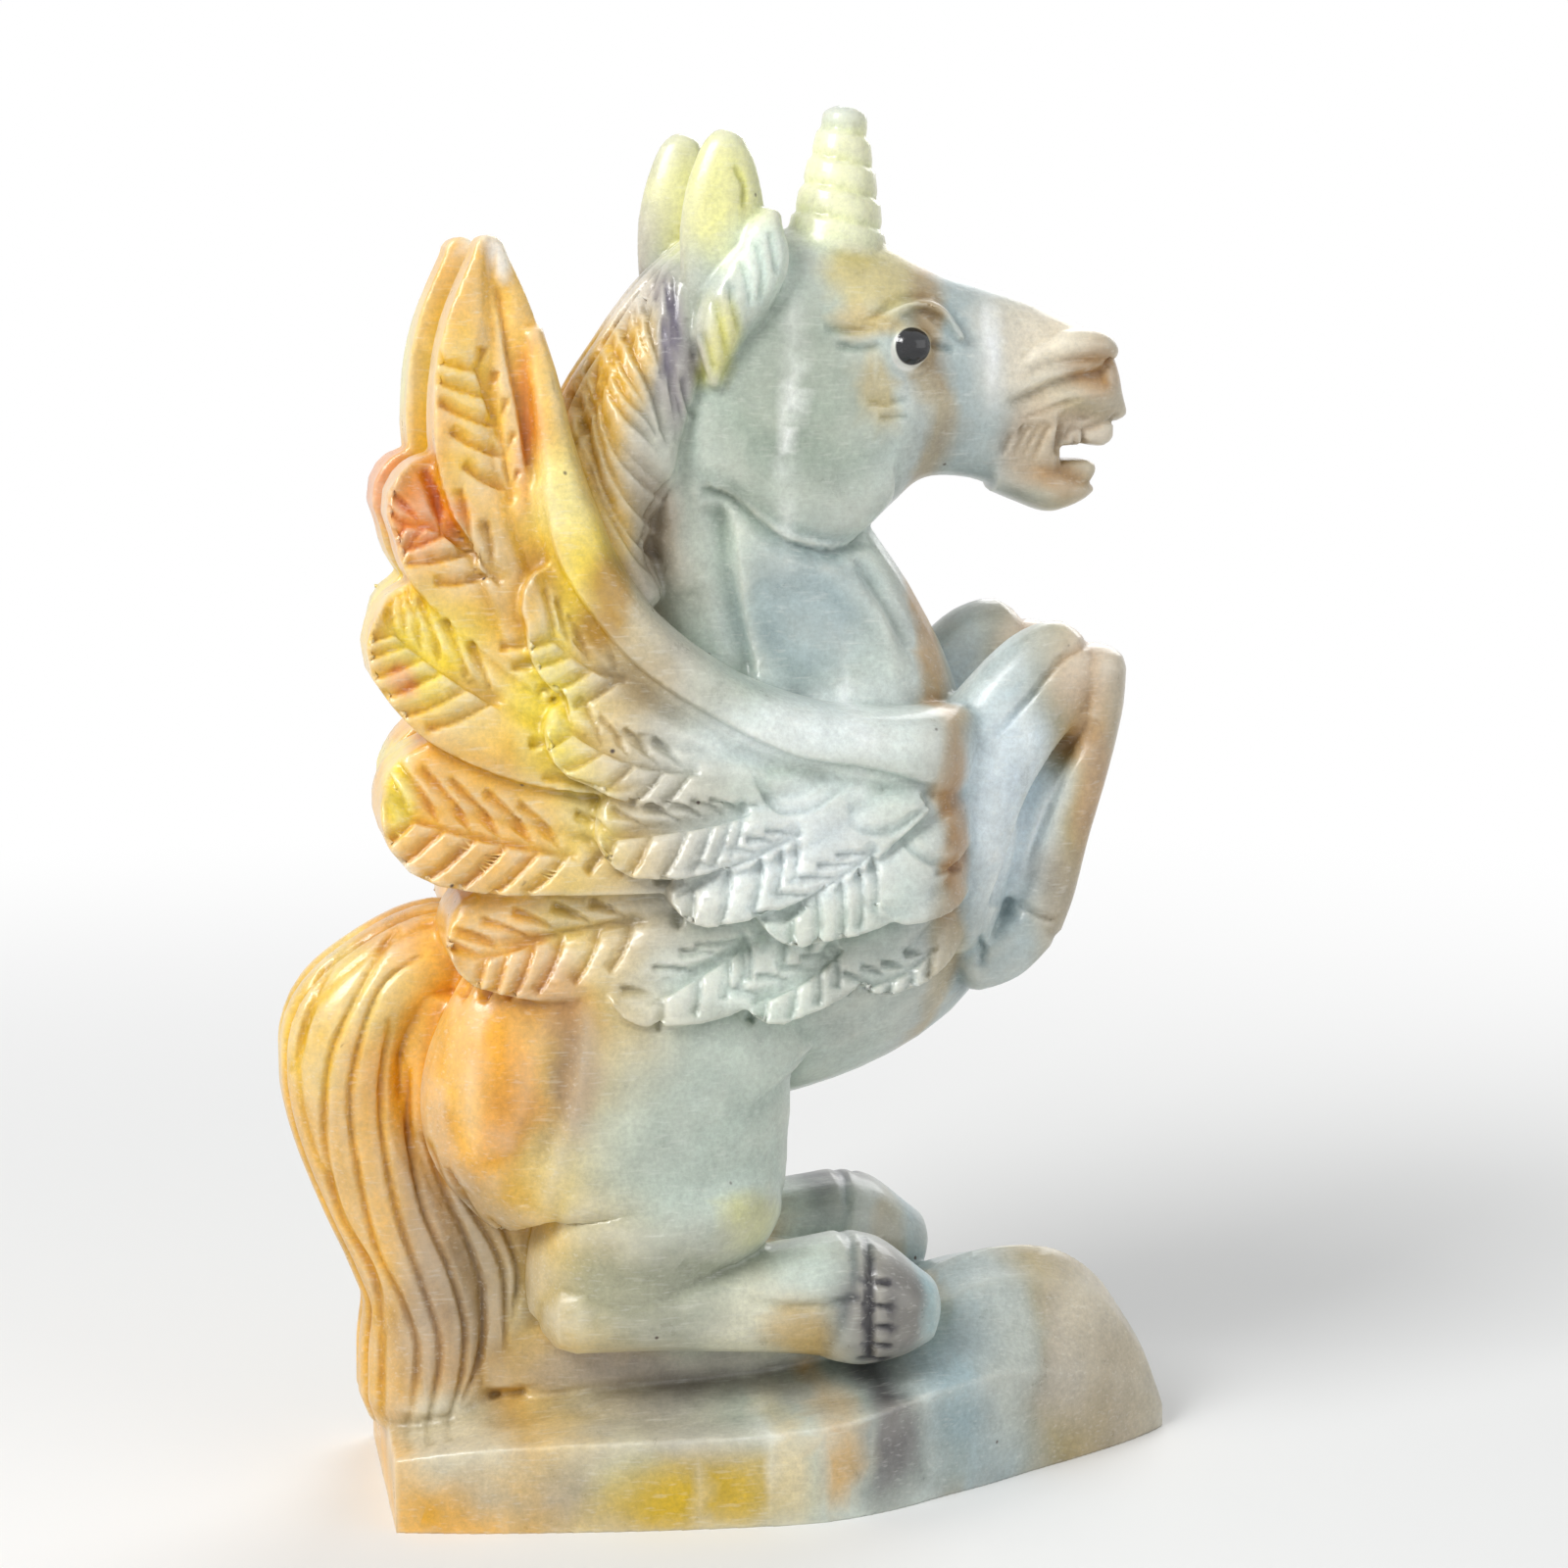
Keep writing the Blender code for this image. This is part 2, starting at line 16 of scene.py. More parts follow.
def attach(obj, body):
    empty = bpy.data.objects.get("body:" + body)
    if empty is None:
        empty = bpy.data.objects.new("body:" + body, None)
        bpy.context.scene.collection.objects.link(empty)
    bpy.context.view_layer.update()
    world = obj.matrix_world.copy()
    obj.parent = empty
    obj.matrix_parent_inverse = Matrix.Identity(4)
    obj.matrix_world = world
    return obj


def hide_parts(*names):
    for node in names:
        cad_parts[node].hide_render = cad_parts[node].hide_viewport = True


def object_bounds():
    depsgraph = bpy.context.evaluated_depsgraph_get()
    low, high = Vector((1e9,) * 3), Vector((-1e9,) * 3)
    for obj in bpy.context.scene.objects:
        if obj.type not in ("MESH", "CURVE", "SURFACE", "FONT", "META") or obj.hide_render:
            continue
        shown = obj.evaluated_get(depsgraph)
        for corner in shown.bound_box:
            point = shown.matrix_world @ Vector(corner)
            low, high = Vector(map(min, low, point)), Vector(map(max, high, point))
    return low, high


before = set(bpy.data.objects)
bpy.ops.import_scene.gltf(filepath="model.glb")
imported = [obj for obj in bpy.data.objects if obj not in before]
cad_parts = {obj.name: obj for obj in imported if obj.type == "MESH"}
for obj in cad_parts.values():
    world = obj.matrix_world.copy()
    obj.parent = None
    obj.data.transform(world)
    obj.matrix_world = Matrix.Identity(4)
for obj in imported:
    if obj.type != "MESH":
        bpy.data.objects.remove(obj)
cad_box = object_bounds()

MM = 0.001

# Half widths across the figure (Y)
TORSO_HALF = 15.5
NECK_HALF = 12.0
HEAD_HALF = 8.8
MUZZLE_HALF = 5.5
TAIL_HALF = 9.5
THIGH_HALF = 9.0
FORELEG_HALF = 4.6

# Distances of the limbs from the middle plane
THIGH_OUT = 11.0
HIND_FOOT_OUT = 12.5
FORELEG_OUT = 9.0
EAR_OUT = 6.3

# How far the limbs of the far side lie from those of the near side
FAR_FORELEG_BACK = 2.6
FAR_FORELEG_UP = 0.9
FAR_EAR_BACK = 2.6
FAR_FOOT_FORWARD = 5.0
FAR_WING_BACK = 1.2

# Wings
WING_OUT = 19.3
WING_INNER = 5.0
FEATHER_CROWN = 0.6
FEATHER_TILT = 1.6
RIB_DEPTH = 0.7
RIB_HALF = 0.8
FEATHER_RISE = 2.4
ARM_ROLL = 2.6

# Horn
HORN_AHEAD = 6.0
HORN_TOP = 156.6
HORN_FOOT = 140.5
HORN_FOOT_RADIUS = 5.9
HORN_TOP_RADIUS = 2.2
HORN_GROOVES = 5
HORN_GROOVE_DEPTH = 0.5
HORN_SLANT = 0.22

# Hair
TAIL_LOCKS = 16
TAIL_LOCK_DEPTH = 0.9
MANE_LOCKS = 16
MANE_LOCK_DEPTH = 0.9
FORELOCK_LOCKS = 10

# Eye and base
EYE_RADIUS = 2.1
BASE_HALF = 22.5
BASE_EDGE = 10.5
BURIED = 0.1

# Fineness of the carving, the faint waves of filing, and how far up the sawn underside is made flat
CARVE_GRAIN = 0.35
MOST_TRIANGLES = 190000
WAVE_LENGTH = 6.0
WAVE_HEIGHT = 0.05
SAWN_REACH = 0.6

# Chisel lines on the feathers
QUILL_DEPTH = 0.85
QUILL_WIDTH = 1.1
BARB_DEPTH = 0.75
BARB_WIDTH = 0.8
BARB_ANGLE_ABOVE = 38
BARB_ANGLE_BELOW = 54

# Black lacquer on the eyeball, and the shift of the pale rim beside it that makes it a crescent, a painted
# highlight
EYE_PLACE = (12.8, 8.6, 130.1)
EYE_REACH = (2.0, 2.6, 2.2)
EYE_RIM_GLINT_SHIFT = (0.2, 0.0, 0.22)

# Camera: where the photo was taken from, and the lamps as (right, up, towards the camera)
CAMERA_AROUND = -12.0
CAMERA_PITCH = 9.0
CAMERA_DISTANCE = 360.0
CAMERA_AIM = 80.2
CAMERA_LENS = 72.0
LAMPS = [
    ("key lamp", (-0.75, 0.75, 0.9), 2.9, 0.25),
    ("fill lamp", (1.0, 0.25, 0.7), 0.65, 0.5),
    ("back lamp", (0.35, 0.8, -0.8), 1.4, 0.4),
]


def spline(rows, steps):
    """Points on a smooth curve through the rows, with this many steps between two rows."""
    padded = [rows[0]] + list(rows) + [rows[-1]]
    points = []
    for i in range(len(rows) - 1):
        for k in range(steps):
            t = k / steps
            point = []
            for a, b, c, d in zip(*padded[i : i + 4]):
                bend = (2 * a - 5 * b + 4 * c - d) * t**2 + (3 * b - a - 3 * c + d) * t**3
                point.append(b + 0.5 * ((c - a) * t + bend))
            points.append(tuple(point))
    points.append(tuple(rows[-1]))
    return points


def loft(stone, rings):
    """Closes a row of equal rings into one shell."""
    rows = [[stone.verts.new(Vector(point) * MM) for point in ring] for ring in rings]
    count = len(rows[0])
    for near, far in zip(rows, rows[1:]):
        for j in range(count):
            k = (j + 1) % count
            stone.faces.new((near[j], near[k], far[k], far[j]))
    stone.faces.new(rows[0])
    stone.faces.new(rows[-1][::-1])


def headings(path):
    """The direction of the path at each point, seen from the side."""
    found = []
    for i in range(len(path)):
        before = path[max(i - 1, 0)]
        after = path[min(i + 1, len(path) - 1)]
        x, z = after[0] - before[0], after[2] - before[2]
        length = math.hypot(x, z)
        found.append((x / length, z / length))
    return found


def squared(value, square):
    """Bends a sine or cosine so that a ring of them goes from round towards a rounded square."""
    return math.copysign(abs(value) ** (2 / square), value)


def tube(stone, rows, across=28, square=2.0, locks=0, lock_depth=0.0, steps=5, dome=0.7):
    """A limb along rows of (x, y, z, half height, half width), with rounded ends.

    With locks its back is grooved along the path, as carved hair is; the sides are cut later.
    """
    path = spline(rows, steps)
    ways = headings(path)
    last = len(path) - 1
    plan = [(i, 0.0, 1.0) for i in range(len(path))]
    for turn in (32, 60, 84):
        ahead = dome * math.sin(math.radians(turn))
        share = math.cos(math.radians(turn))
        plan.insert(0, (0, -ahead, share))
        plan.append((last, ahead, share))
    rings = []
    for i, ahead, share in plan:
        x, y, z, high, wide = path[i]
        high, wide = max(high, 0.3), max(wide, 0.3)
        way_x, way_z = ways[i]
        push = ahead * min(high, wide)
        ring = []
        for j in range(across):
            turn = 2 * math.pi * j / across
            deep = lock_depth * max(0.0, abs(math.cos(turn)) - 0.35) / 0.65
            groove = deep * (0.5 + 0.5 * math.cos(locks * turn)) ** 6 if locks else 0.0
            up = (high - groove) * share * squared(math.cos(turn), square)
            out = (wide - groove) * share * squared(math.sin(turn), square)
            ring.append((x + way_x * push - way_z * up, y + out, z + way_z * push + way_x * up))
        rings.append(ring)
    loft(stone, rings)


def limb(stone, rows, out, deep, **shape):
    """A tube from rows of (x, z, half height, share of its half width), this far from the middle plane."""
    tube(stone, [(x, out, z, half, deep * share) for x, z, half, share in rows], **shape)


def moved(rows, ahead, up=0.0):
    """Rows of (x, z, ...) moved along and up."""
    return [(row[0] + ahead, row[1] + up) + row[2:] for row in rows]


def far_side(side, value):
    """A value that only the far side has."""
    return value if side > 0 else 0.0


def slices(stone, rows, across=32, square=2.4, steps=4):
    """A body of upright slices, from rows of (x, lowest z, highest z, half width)."""
    rings = []
    for x, low, high, wide in spline(rows, steps):
        middle, tall = (low + high) / 2, (high - low) / 2
        ring = []
        for j in range(across):
            turn = 2 * math.pi * j / across
            out = wide * squared(math.sin(turn), square)
            ring.append((x, out, middle + tall * squared(math.cos(turn), square)))
        rings.append(ring)
    loft(stone, rings)


def wing_skin(x, z):
    """How far the wing's face lies from the middle plane: it leans in at its top and at both ends."""
    top = 0.115 * max(0.0, z - 80)
    back = 0.075 * max(0.0, -x - 12)
    front = 0.02 * max(0.0, x - 9) ** 2.5
    return WING_OUT - top - back - front


def feather(stone, side, rows, lift=0.0, rib=True, tilt=1.0, far=FAR_WING_BACK):
    """One feather from its root to its round tip, from rows of (x, z, half width).

    Its lower edge stands proud of the next feather and its upper edge is sunk.
    """
    path = spline([(x, 0.0, z, half) for x, z, half in rows], 4)
    ways = headings(path)
    plan = [(i, 0.0, 1.0) for i in range(len(path))]
    for turn in (25, 50, 70, 84):
        plan.append((len(path) - 1, math.sin(math.radians(turn)), math.cos(math.radians(turn))))
    back = far_side(side, far)
    rings = []
    for i, ahead, share in plan:
        x, _, z, half = path[i]
        way_x, way_z = ways[i]
        sunk = FEATHER_RISE * (1 - i / (len(path) - 1)) ** 1.3
        outer, inner = [], []
        for j in range(15):
            s = j / 7 - 1
            across = s * half * share
            px = x + way_x * ahead * half + way_z * across
            pz = z + way_z * ahead * half - way_x * across
            depth = wing_skin(px, pz) + lift - sunk - tilt * FEATHER_TILT * s * min(1.0, half / 4)
            depth += FEATHER_CROWN * (1 - (abs(s) * share) ** 2.5 - 0.6 * ahead**2)
            if rib:
                depth -= RIB_DEPTH * math.exp(-((across / RIB_HALF) ** 2)) * (1 - ahead)
            outer.append((px - back, side * depth, pz))
            inner.append((px - back, side * WING_INNER, pz))
        rings.append(outer + inner[::-1])
    loft(stone, rings)


def wing(stone, side):
    """The raised wing: long feathers at the back, two rows of short ones, the plate under them, the arm."""
    feathers = [
        (1.0, {}, [
            (-29, 98, 4.0), (-31, 107, 5.0), (-34, 117, 6.2), (-34.5, 125, 6.2), (-34.3, 133, 4.9),
            (-34.3, 140.3, 1.8),
        ]),
        (0.2, {"far": 0.0}, [(-26, 96, 4.5), (-32, 102, 5.6), (-37.5, 109, 7.0), (-40.2, 113.2, 5.8)]),
        (0.3, {"far": -2.2}, [(-20, 87, 5.0), (-30, 90, 6.4), (-37, 94.6, 7.8), (-41, 98.2, 7.5)]),
        (0.4, {"far": -2.4}, [(-16, 76, 4.5), (-26, 77.8, 6.2), (-34, 79.6, 7.6), (-39.8, 81, 7.8)]),
        (-0.2, {"far": -2.0}, [(-12, 70, 4.0), (-21, 68, 5.8), (-29, 66.6, 6.4), (-35, 67, 5.7)]),
        (0.2, {}, [(4, 74, 4.0), (-5, 67.6, 5.6), (-12.5, 63.4, 5.8), (-19, 61.8, 4.6)]),
        (0.6, {}, [(11, 71, 4.0), (4, 67, 5.4), (-1.5, 63.4, 5.2), (-5, 61.2, 4.2)]),
        (0.6, {}, [(17, 70, 3.5), (13.5, 67, 4.4), (10, 64.6, 4.2), (7.2, 63.2, 3.6)]),
        (0.9, {}, [(-14, 91, 4.5), (-20.5, 95, 5.8), (-25.4, 99.6, 6.4), (-27.6, 103, 4.6)]),
        (1.8, {}, [(-6, 86, 4.5), (-14, 87.2, 5.8), (-21, 88.4, 6.2), (-25, 89, 5.0)]),
        (2.0, {}, [(2, 83.5, 4.5), (-6, 81.6, 5.8), (-14, 79.8, 6.2), (-19.6, 79, 5.2)]),
        (2.2, {}, [(10, 84, 4.5), (2, 79.4, 5.8), (-6, 75.4, 5.8), (-12.8, 72.8, 4.4)]),
        (2.2, {}, [(19, 82, 4.5), (10, 77.4, 6.4), (3, 73.4, 6.6), (-2.8, 70.6, 4.8)]),
        (1.6, {"rib": False}, [(19, 76, 3.5), (14, 73.6, 5.0), (9.5, 72, 4.4)]),
        (0.2, {"rib": False, "tilt": 0.0}, [
            (12, 79, 5.0), (2, 81, 7.5), (-10, 85, 8.0), (-20, 93, 7.5), (-27, 103, 5.0),
        ]),
    ]
    for lift, special, rows in feathers:
        feather(stone, side, rows, lift, **special)
    arm = [
        (19.5, 84.8, 5.4), (14, 85.2, 5.5), (8, 85.8, 4.9), (0, 87.4, 4.4), (-8, 90.3, 4.2),
        (-15, 94.6, 4.2), (-20.5, 99.5, 4.2), (-24.6, 105.5, 4.2), (-26.8, 112, 3.8), (-28, 119, 2.8),
        (-28.8, 126, 2.0), (-30, 132, 1.4),
    ]
    back = far_side(side, FAR_WING_BACK)
    rows = []
    for x, z, half in arm:
        outer = wing_skin(x, z) + ARM_ROLL * min(1.0, half / 4) - 0.4
        rows.append((x - back, side * (outer + WING_INNER) / 2, z, half, (outer - WING_INNER) / 2))
    tube(stone, rows, square=2.6, dome=0.3)


def hind_leg(stone, side):
    """The haunch, the folded leg laid forward along the rock, and the hoof."""
    haunch = [
        (-22, 64, 15.5, 0.82), (-21.6, 56, 20.5, 0.98), (-20.9, 48.5, 22.6, 1.0),
        (-19.4, 43.4, 20.6, 1.0), (-17.6, 39.4, 17.0, 0.97), (-17.0, 36, 14.2, 0.94),
        (-18.8, 32, 12.2, 0.92), (-20.2, 27, 11.8, 0.92), (-20.2, 23.5, 11.4, 0.9),
    ]
    limb(stone, haunch, side * THIGH_OUT, THIGH_HALF, dome=0.3)
    ahead = far_side(side, FAR_FOOT_FORWARD)
    cannon = [
        (-27, 23.8, 5.0, 0.7), (-18, 23.8, 5.2, 0.78), (-8, 23.4, 5.7, 0.74), (-1, 23.3, 6.4, 0.74),
        (3.4, 23.2, 7.1, 0.8),
    ]
    cannon = [(x + ahead * min(1.0, (x + 27) / 20), z, half, share) for x, z, half, share in cannon]
    limb(stone, cannon, side * HIND_FOOT_OUT, THIGH_HALF, square=2.3, dome=0.8)
    hoof = [(3.6, 23.2, 7.3, 0.84), (7.0, 22.2, 7.2, 0.84), (10.5, 21.4, 5.8, 0.76), (13.2, 21.0, 4.2, 0.6)]
    limb(stone, moved(hoof, ahead), side * HIND_FOOT_OUT, THIGH_HALF, square=2.3, dome=0.5)


def foreleg(stone, side):
    """A foreleg bent at the knee, the stone left in its fold, and the hoof tucked back under the chest."""
    back, rise = far_side(side, FAR_FORELEG_BACK), far_side(side, FAR_FORELEG_UP)
    forearm = [
        (12.5, 69, 11.0, 1.75), (16.8, 75.8, 9.2, 1.55), (20.2, 82.8, 7.2, 1.3), (24.4, 88.6, 6.7, 1.12),
        (28, 92.6, 6.2, 1.05), (31, 94.6, 5.4, 0.95),
    ]
    shin = [
        (34.0, 94.2, 3.7, 0.9), (33.6, 89, 3.7, 0.82), (32.2, 82, 3.4, 0.76), (30.4, 75, 3.2, 0.72),
        (28.8, 69, 3.3, 0.76), (27.2, 65.4, 3.6, 0.84),
    ]
    fold = [(30, 85, 3.0, 0.45), (27.4, 77, 4.0, 0.45), (24.6, 68.5, 4.6, 0.5)]
    hoof = [(27.2, 64.6, 3.2, 0.86), (23.4, 61.9, 3.8, 0.94), (19.4, 60.1, 3.2, 0.9)]
    for rows, dome in ((forearm, 0.7), (shin, 0.7), (fold, 0.4), (hoof, 0.5)):
        limb(stone, moved(rows, -back, rise), side * FORELEG_OUT, FORELEG_HALF, square=2.2, dome=dome)


def ear(stone, side):
    """One upright ear, leaf shaped."""
    rows = [
        (-8.1, 134, 4.6, 2.2), (-8.1, 140, 4.9, 2.4), (-8.1, 143.5, 4.8, 2.5), (-8.0, 147.5, 4.1, 2.3),
        (-7.7, 151.2, 2.9, 1.8), (-7.1, 153.0, 1.6, 1.3),
    ]
    limb(stone, moved(rows, -far_side(side, FAR_EAR_BACK)), side * EAR_OUT, 1.0, square=1.7, dome=0.2)


def head(stone):
    """The skull and cheeks, the upper lip, the jaw, the teeth, and the brows, eyes and nostrils."""
    skull = [
        (-13, 120, 132, 0.34), (-11, 116.6, 136, 0.75), (-8, 113.2, 139.5, 0.92),
        (-4, 110.4, 141.8, 1.0),
        (0, 108.4, 143, 1.02), (4, 107.7, 143, 1.02), (8, 108.6, 142.6, 0.98), (12, 112.0, 141.0, 0.9),
        (15, 114.6, 139.4, 0.84), (18, 115.3, 138.1, 0.78), (22, 114.9, 137, 0.73),
        (26, 113.4, 135.8, 0.63),
        (30.5, 112.0, 134.2, 0.63),
    ]
    cheek = [
        (-11, 114.8, 126, 0.82), (-7.5, 113.6, 128, 0.92), (-4.4, 111.3, 130, 0.95),
        (-1.3, 109.1, 130, 0.96), (3.1, 107.9, 130, 0.96), (6.2, 108.3, 130, 0.94),
        (8.6, 109.8, 128, 0.9), (11.2, 112.4, 126, 0.83),
    ]
    for rows, square in ((skull, 2.4), (cheek, 5)):
        slices(stone, [(x, low, high, HEAD_HALF * share) for x, low, high, share in rows], square=square)
    upper_lip = [
        (24, 116, 136.2, 0.9), (29, 117.6, 134.5, 1.04), (33, 120.4, 132.9, 1.04),
        (35.4, 121.0, 131.7, 0.96), (37.4, 121.3, 130.2, 0.8), (38.4, 121.3, 128.0, 0.66),
        (39.0, 121.4, 125.4, 0.54), (39.7, 121.8, 123.0, 0.4),
    ]
    inside_of_mouth = [(27, 114, 121, 0.8), (31.2, 114, 121, 0.8)]
    jaw = [
        (24, 113.5, 120, 0.76), (27, 112.3, 119, 0.82), (30.4, 111.1, 117.6, 0.84),
        (32.6, 111.4, 115.9, 0.8), (34.6, 112.3, 114.8, 0.68), (36.0, 113.3, 114.1, 0.4),
    ]
    back_tooth = [(31.4, 118.6, 121.6, 0.84), (33.8, 118.7, 121.8, 0.8)]
    front_tooth = [(34.3, 118.9, 122.0, 0.76), (36.6, 118.5, 122.4, 0.7), (37.8, 119.2, 122.4, 0.6)]
    lower_tooth = [(31.4, 114.2, 117.2, 0.72), (34.8, 114.2, 117.1, 0.64), (36.0, 115.6, 116.6, 0.5)]
    for rows, square in (
        (upper_lip, 2.4), (inside_of_mouth, 2.4), (jaw, 2.4), (back_tooth, 5), (front_tooth, 5),
        (lower_tooth, 4),
    ):
        slices(stone, [(x, low, high, MUZZLE_HALF * share) for x, low, high, share in rows], square=square)
    for side in (-1, 1):
        out = side * (0.84 * HEAD_HALF - 0.3)
        tube(stone, [(x, out, 130.1, EYE_RADIUS, EYE_RADIUS) for x in (12.4, 13.3)], dome=0.95)
        brow = [(7, 132.0, 0.5), (10, 133.8, 0.8), (13.3, 134.9, 0.9), (16.4, 133.8, 0.8), (18.8, 131, 0.5)]
        tube(stone, [(x, side * 0.76 * HEAD_HALF, z, 0.8 * half, 1.6 * half) for x, z, half in brow])
        nostril = [
            (25, 126.6, 0.9), (28.6, 128.9, 1.4), (32, 130, 1.8), (35.4, 130, 1.7), (37, 129.2, 1.1),
        ]
        tube(stone, [(x, side * 0.78 * MUZZLE_HALF, z, half, 1.3 * half) for x, z, half in nostril])


def horn(stone):
    """A tapered spike whose slanting grooves wind round it."""
    rings = []
    for i in range(61):
        up = i / 60
        z = HORN_FOOT + up * (HORN_TOP - HORN_FOOT)
        radius = HORN_FOOT_RADIUS + (HORN_TOP_RADIUS - HORN_FOOT_RADIUS) * up**1.1
        if up > 0.93:
            radius *= math.sqrt(max(0.05, 1 - ((up - 0.93) / 0.075) ** 2))
        elif 0.06 < up < 0.9:
            phase = (up * HORN_GROOVES) % 1.0
            radius -= HORN_GROOVE_DEPTH * (math.exp(-((phase / 0.14) ** 2)) + 0.45 * (1 - phase))
        slant = HORN_SLANT * min(1.0, (1 - up) * 6)
        ring = []
        for j in range(32):
            turn = 2 * math.pi * j / 32
            ahead = radius * math.cos(turn)
            ring.append((HORN_AHEAD + up + ahead, radius * math.sin(turn), z - slant * ahead))
        rings.append(ring)
    loft(stone, rings)


def mane(stone):
    """The mane down the back of the neck and the forelock beside each ear, grooved into locks."""
    crest = [
        (-9.4, 139.5, 3.4, 5.6), (-12.2, 134.5, 5.4, 7.4), (-15.4, 128, 6.8, 9.0),
        (-18.6, 121, 7.8, 10.0),
        (-21.0, 114, 6.6, 10.4), (-20.6, 107.5, 4.8, 10.6), (-17.4, 102.5, 3.0, 10.4),
    ]
    limb(stone, crest, 0.0, 1.0, across=300, locks=MANE_LOCKS, lock_depth=MANE_LOCK_DEPTH, square=2.3)
    forelock = [
        (-3.2, 144.2, 1.3, 1.6), (-3.9, 142.2, 2.6, 2.2), (-4.5, 139.3, 3.4, 2.6), (-6.5, 136, 3.7, 2.8),
        (-8.6, 132.6, 3.2, 2.6), (-9.6, 129.2, 2.1, 2.0), (-9.6, 126.2, 0.8, 1.2),
    ]
    for side in (-1, 1):
        rows = moved(forelock, -far_side(side, FAR_EAR_BACK))
        out = side * (HEAD_HALF - 0.9)
        limb(stone, rows, out, 1.0, across=48, locks=FORELOCK_LOCKS, lock_depth=0.5 * MANE_LOCK_DEPTH)


def tail(stone):
    """The tail: it arches out of the haunch and falls to the rock in long S-shaped locks."""
    fall = [
        (-33, 61, 6.0, 0.7), (-40, 62.2, 6.2, 0.8), (-45.8, 59.6, 6.4, 0.9), (-50, 55, 7.4, 0.96),
        (-50.8, 49.5, 7.4, 1.0), (-49.4, 43, 7.4, 1.0), (-46.6, 36.6, 7.8, 1.0), (-43.6, 30, 8.0, 1.0),
        (-41.6, 23.5, 8.0, 0.98), (-41.6, 17, 8.5, 1.0), (-41.8, 11.5, 8.4, 1.04),
    ]
    limb(stone, fall, 0.0, TAIL_HALF, across=360, locks=TAIL_LOCKS, lock_depth=TAIL_LOCK_DEPTH, square=2.3)


def base(stone):
    """The rock: flat sided at the back, with a hump that runs out to a point in front."""
    rows = [
        (-47.3, 0.69, 0.80, 9.5), (-38, 0.79, 0.92, 12.0), (-24, 0.90, 0.98, 13.5),
        (-10, 0.98, 1.0, 14.0),
        (0, 1.0, 1.06, 14.6), (8, 0.92, 1.14, 16.5), (15, 0.79, 1.24, 20.0), (21, 0.68, 1.24, 22.7),
        (27, 0.55, 1.14, 23.6), (33, 0.43, 1.0, 22.9), (38, 0.32, 0.84, 19.6), (41.6, 0.23, 0.66, 14.6),
        (44.4, 0.15, 0.46, 9.6), (46.8, 0.06, 0.26, 3.2),
    ]
    rings = []
    for x, share, edge_share, top in spline(rows, 3):
        half, edge = BASE_HALF * share, BASE_EDGE * edge_share
        across = [(0.72, 0.35), (0.42, 0.8), (0.0, 1.0), (-0.42, 0.8), (-0.72, 0.35)]
        crown = [(x, -out * half, edge + rise * (top - edge)) for out, rise in across]
        rings.append([(x, -half, -BURIED), (x, -half, edge)] + crown + [(x, half, edge), (x, half, -BURIED)])
    loft(stone, rings)


def torso(stone):
    """The trunk, the chest and neck, the rock under the haunches, and the stone between haunch and tail."""
    trunk = [
        (-36, 56, 9.5, 0.7), (-30, 57.5, 14.5, 0.88), (-18, 60.5, 18, 0.98), (-4, 63.5, 19.5, 1.0),
        (6, 68.4, 20.2, 0.98), (11, 76, 19.5, 0.92),
    ]
    limb(stone, trunk, 0.0, TORSO_HALF, square=2.2, dome=0.3)
    neck = [
        (3.5, 58, 13.5, 1.0), (4.5, 66, 15.6, 1.18), (4.4, 76, 17.2, 1.24), (3.8, 86, 17.0, 1.1),
        (0.8, 95, 16.0, 0.9), (-3.2, 103.4, 14.6, 0.7), (-6.6, 111, 13.4, 0.6),
        (-9.4, 119, 12.6, 0.58), (-10.4, 127, 10.6, 0.56), (-8.6, 134, 8.4, 0.5),
    ]
    limb(stone, neck, 0.0, NECK_HALF, square=2.2)
    seat = [(-32, 16, 9, 9.0), (-20, 18, 9, 10.5), (-4, 18, 8, 10.5), (8, 17, 6, 9.0)]
    limb(stone, seat, 0.0, 1.0, square=3, dome=0.2)
    web = [
        (-38, 58, 8, 8.2), (-39, 50, 8, 9.0), (-38, 42, 9, 9.0), (-34, 32, 11, 8.8), (-31, 24, 12, 8.8),
        (-30, 14, 12, 9.2),
    ]
    limb(stone, web, 0.0, 1.0, square=2.6, dome=0.2)


def smooth_line(line, steps=6):
    """Points (x, z) on a smooth curve through a line seen from the side."""
    return np.array([(x, z) for x, _, z in spline([(x, 0.0, z) for x, z in line], steps)])


# For each layer of the figure: how far out its skin lies, and where the far side's copy is moved to
LAYERS = {
    "wing": (8.5, 25.0, -FAR_WING_BACK, 0.0),
    "head": (2.5, 12.5, 0.0, 0.0),
    "ear": (2.5, 11.0, -FAR_EAR_BACK, 0.0),
    "neck": (3.0, 14.0, 0.0, 0.0),
    "tail": (3.0, 14.0, 0.0, 0.0),
    "thigh": (6.0, 22.0, 0.0, 0.0),
    "foreleg": (3.0, 20.0, -FAR_FORELEG_BACK, FAR_FORELEG_UP),
    "hoof": (4.0, 22.0, FAR_FOOT_FORWARD, 0.0),
    "rock": (6.0, 26.0, 0.0, 0.0),
}


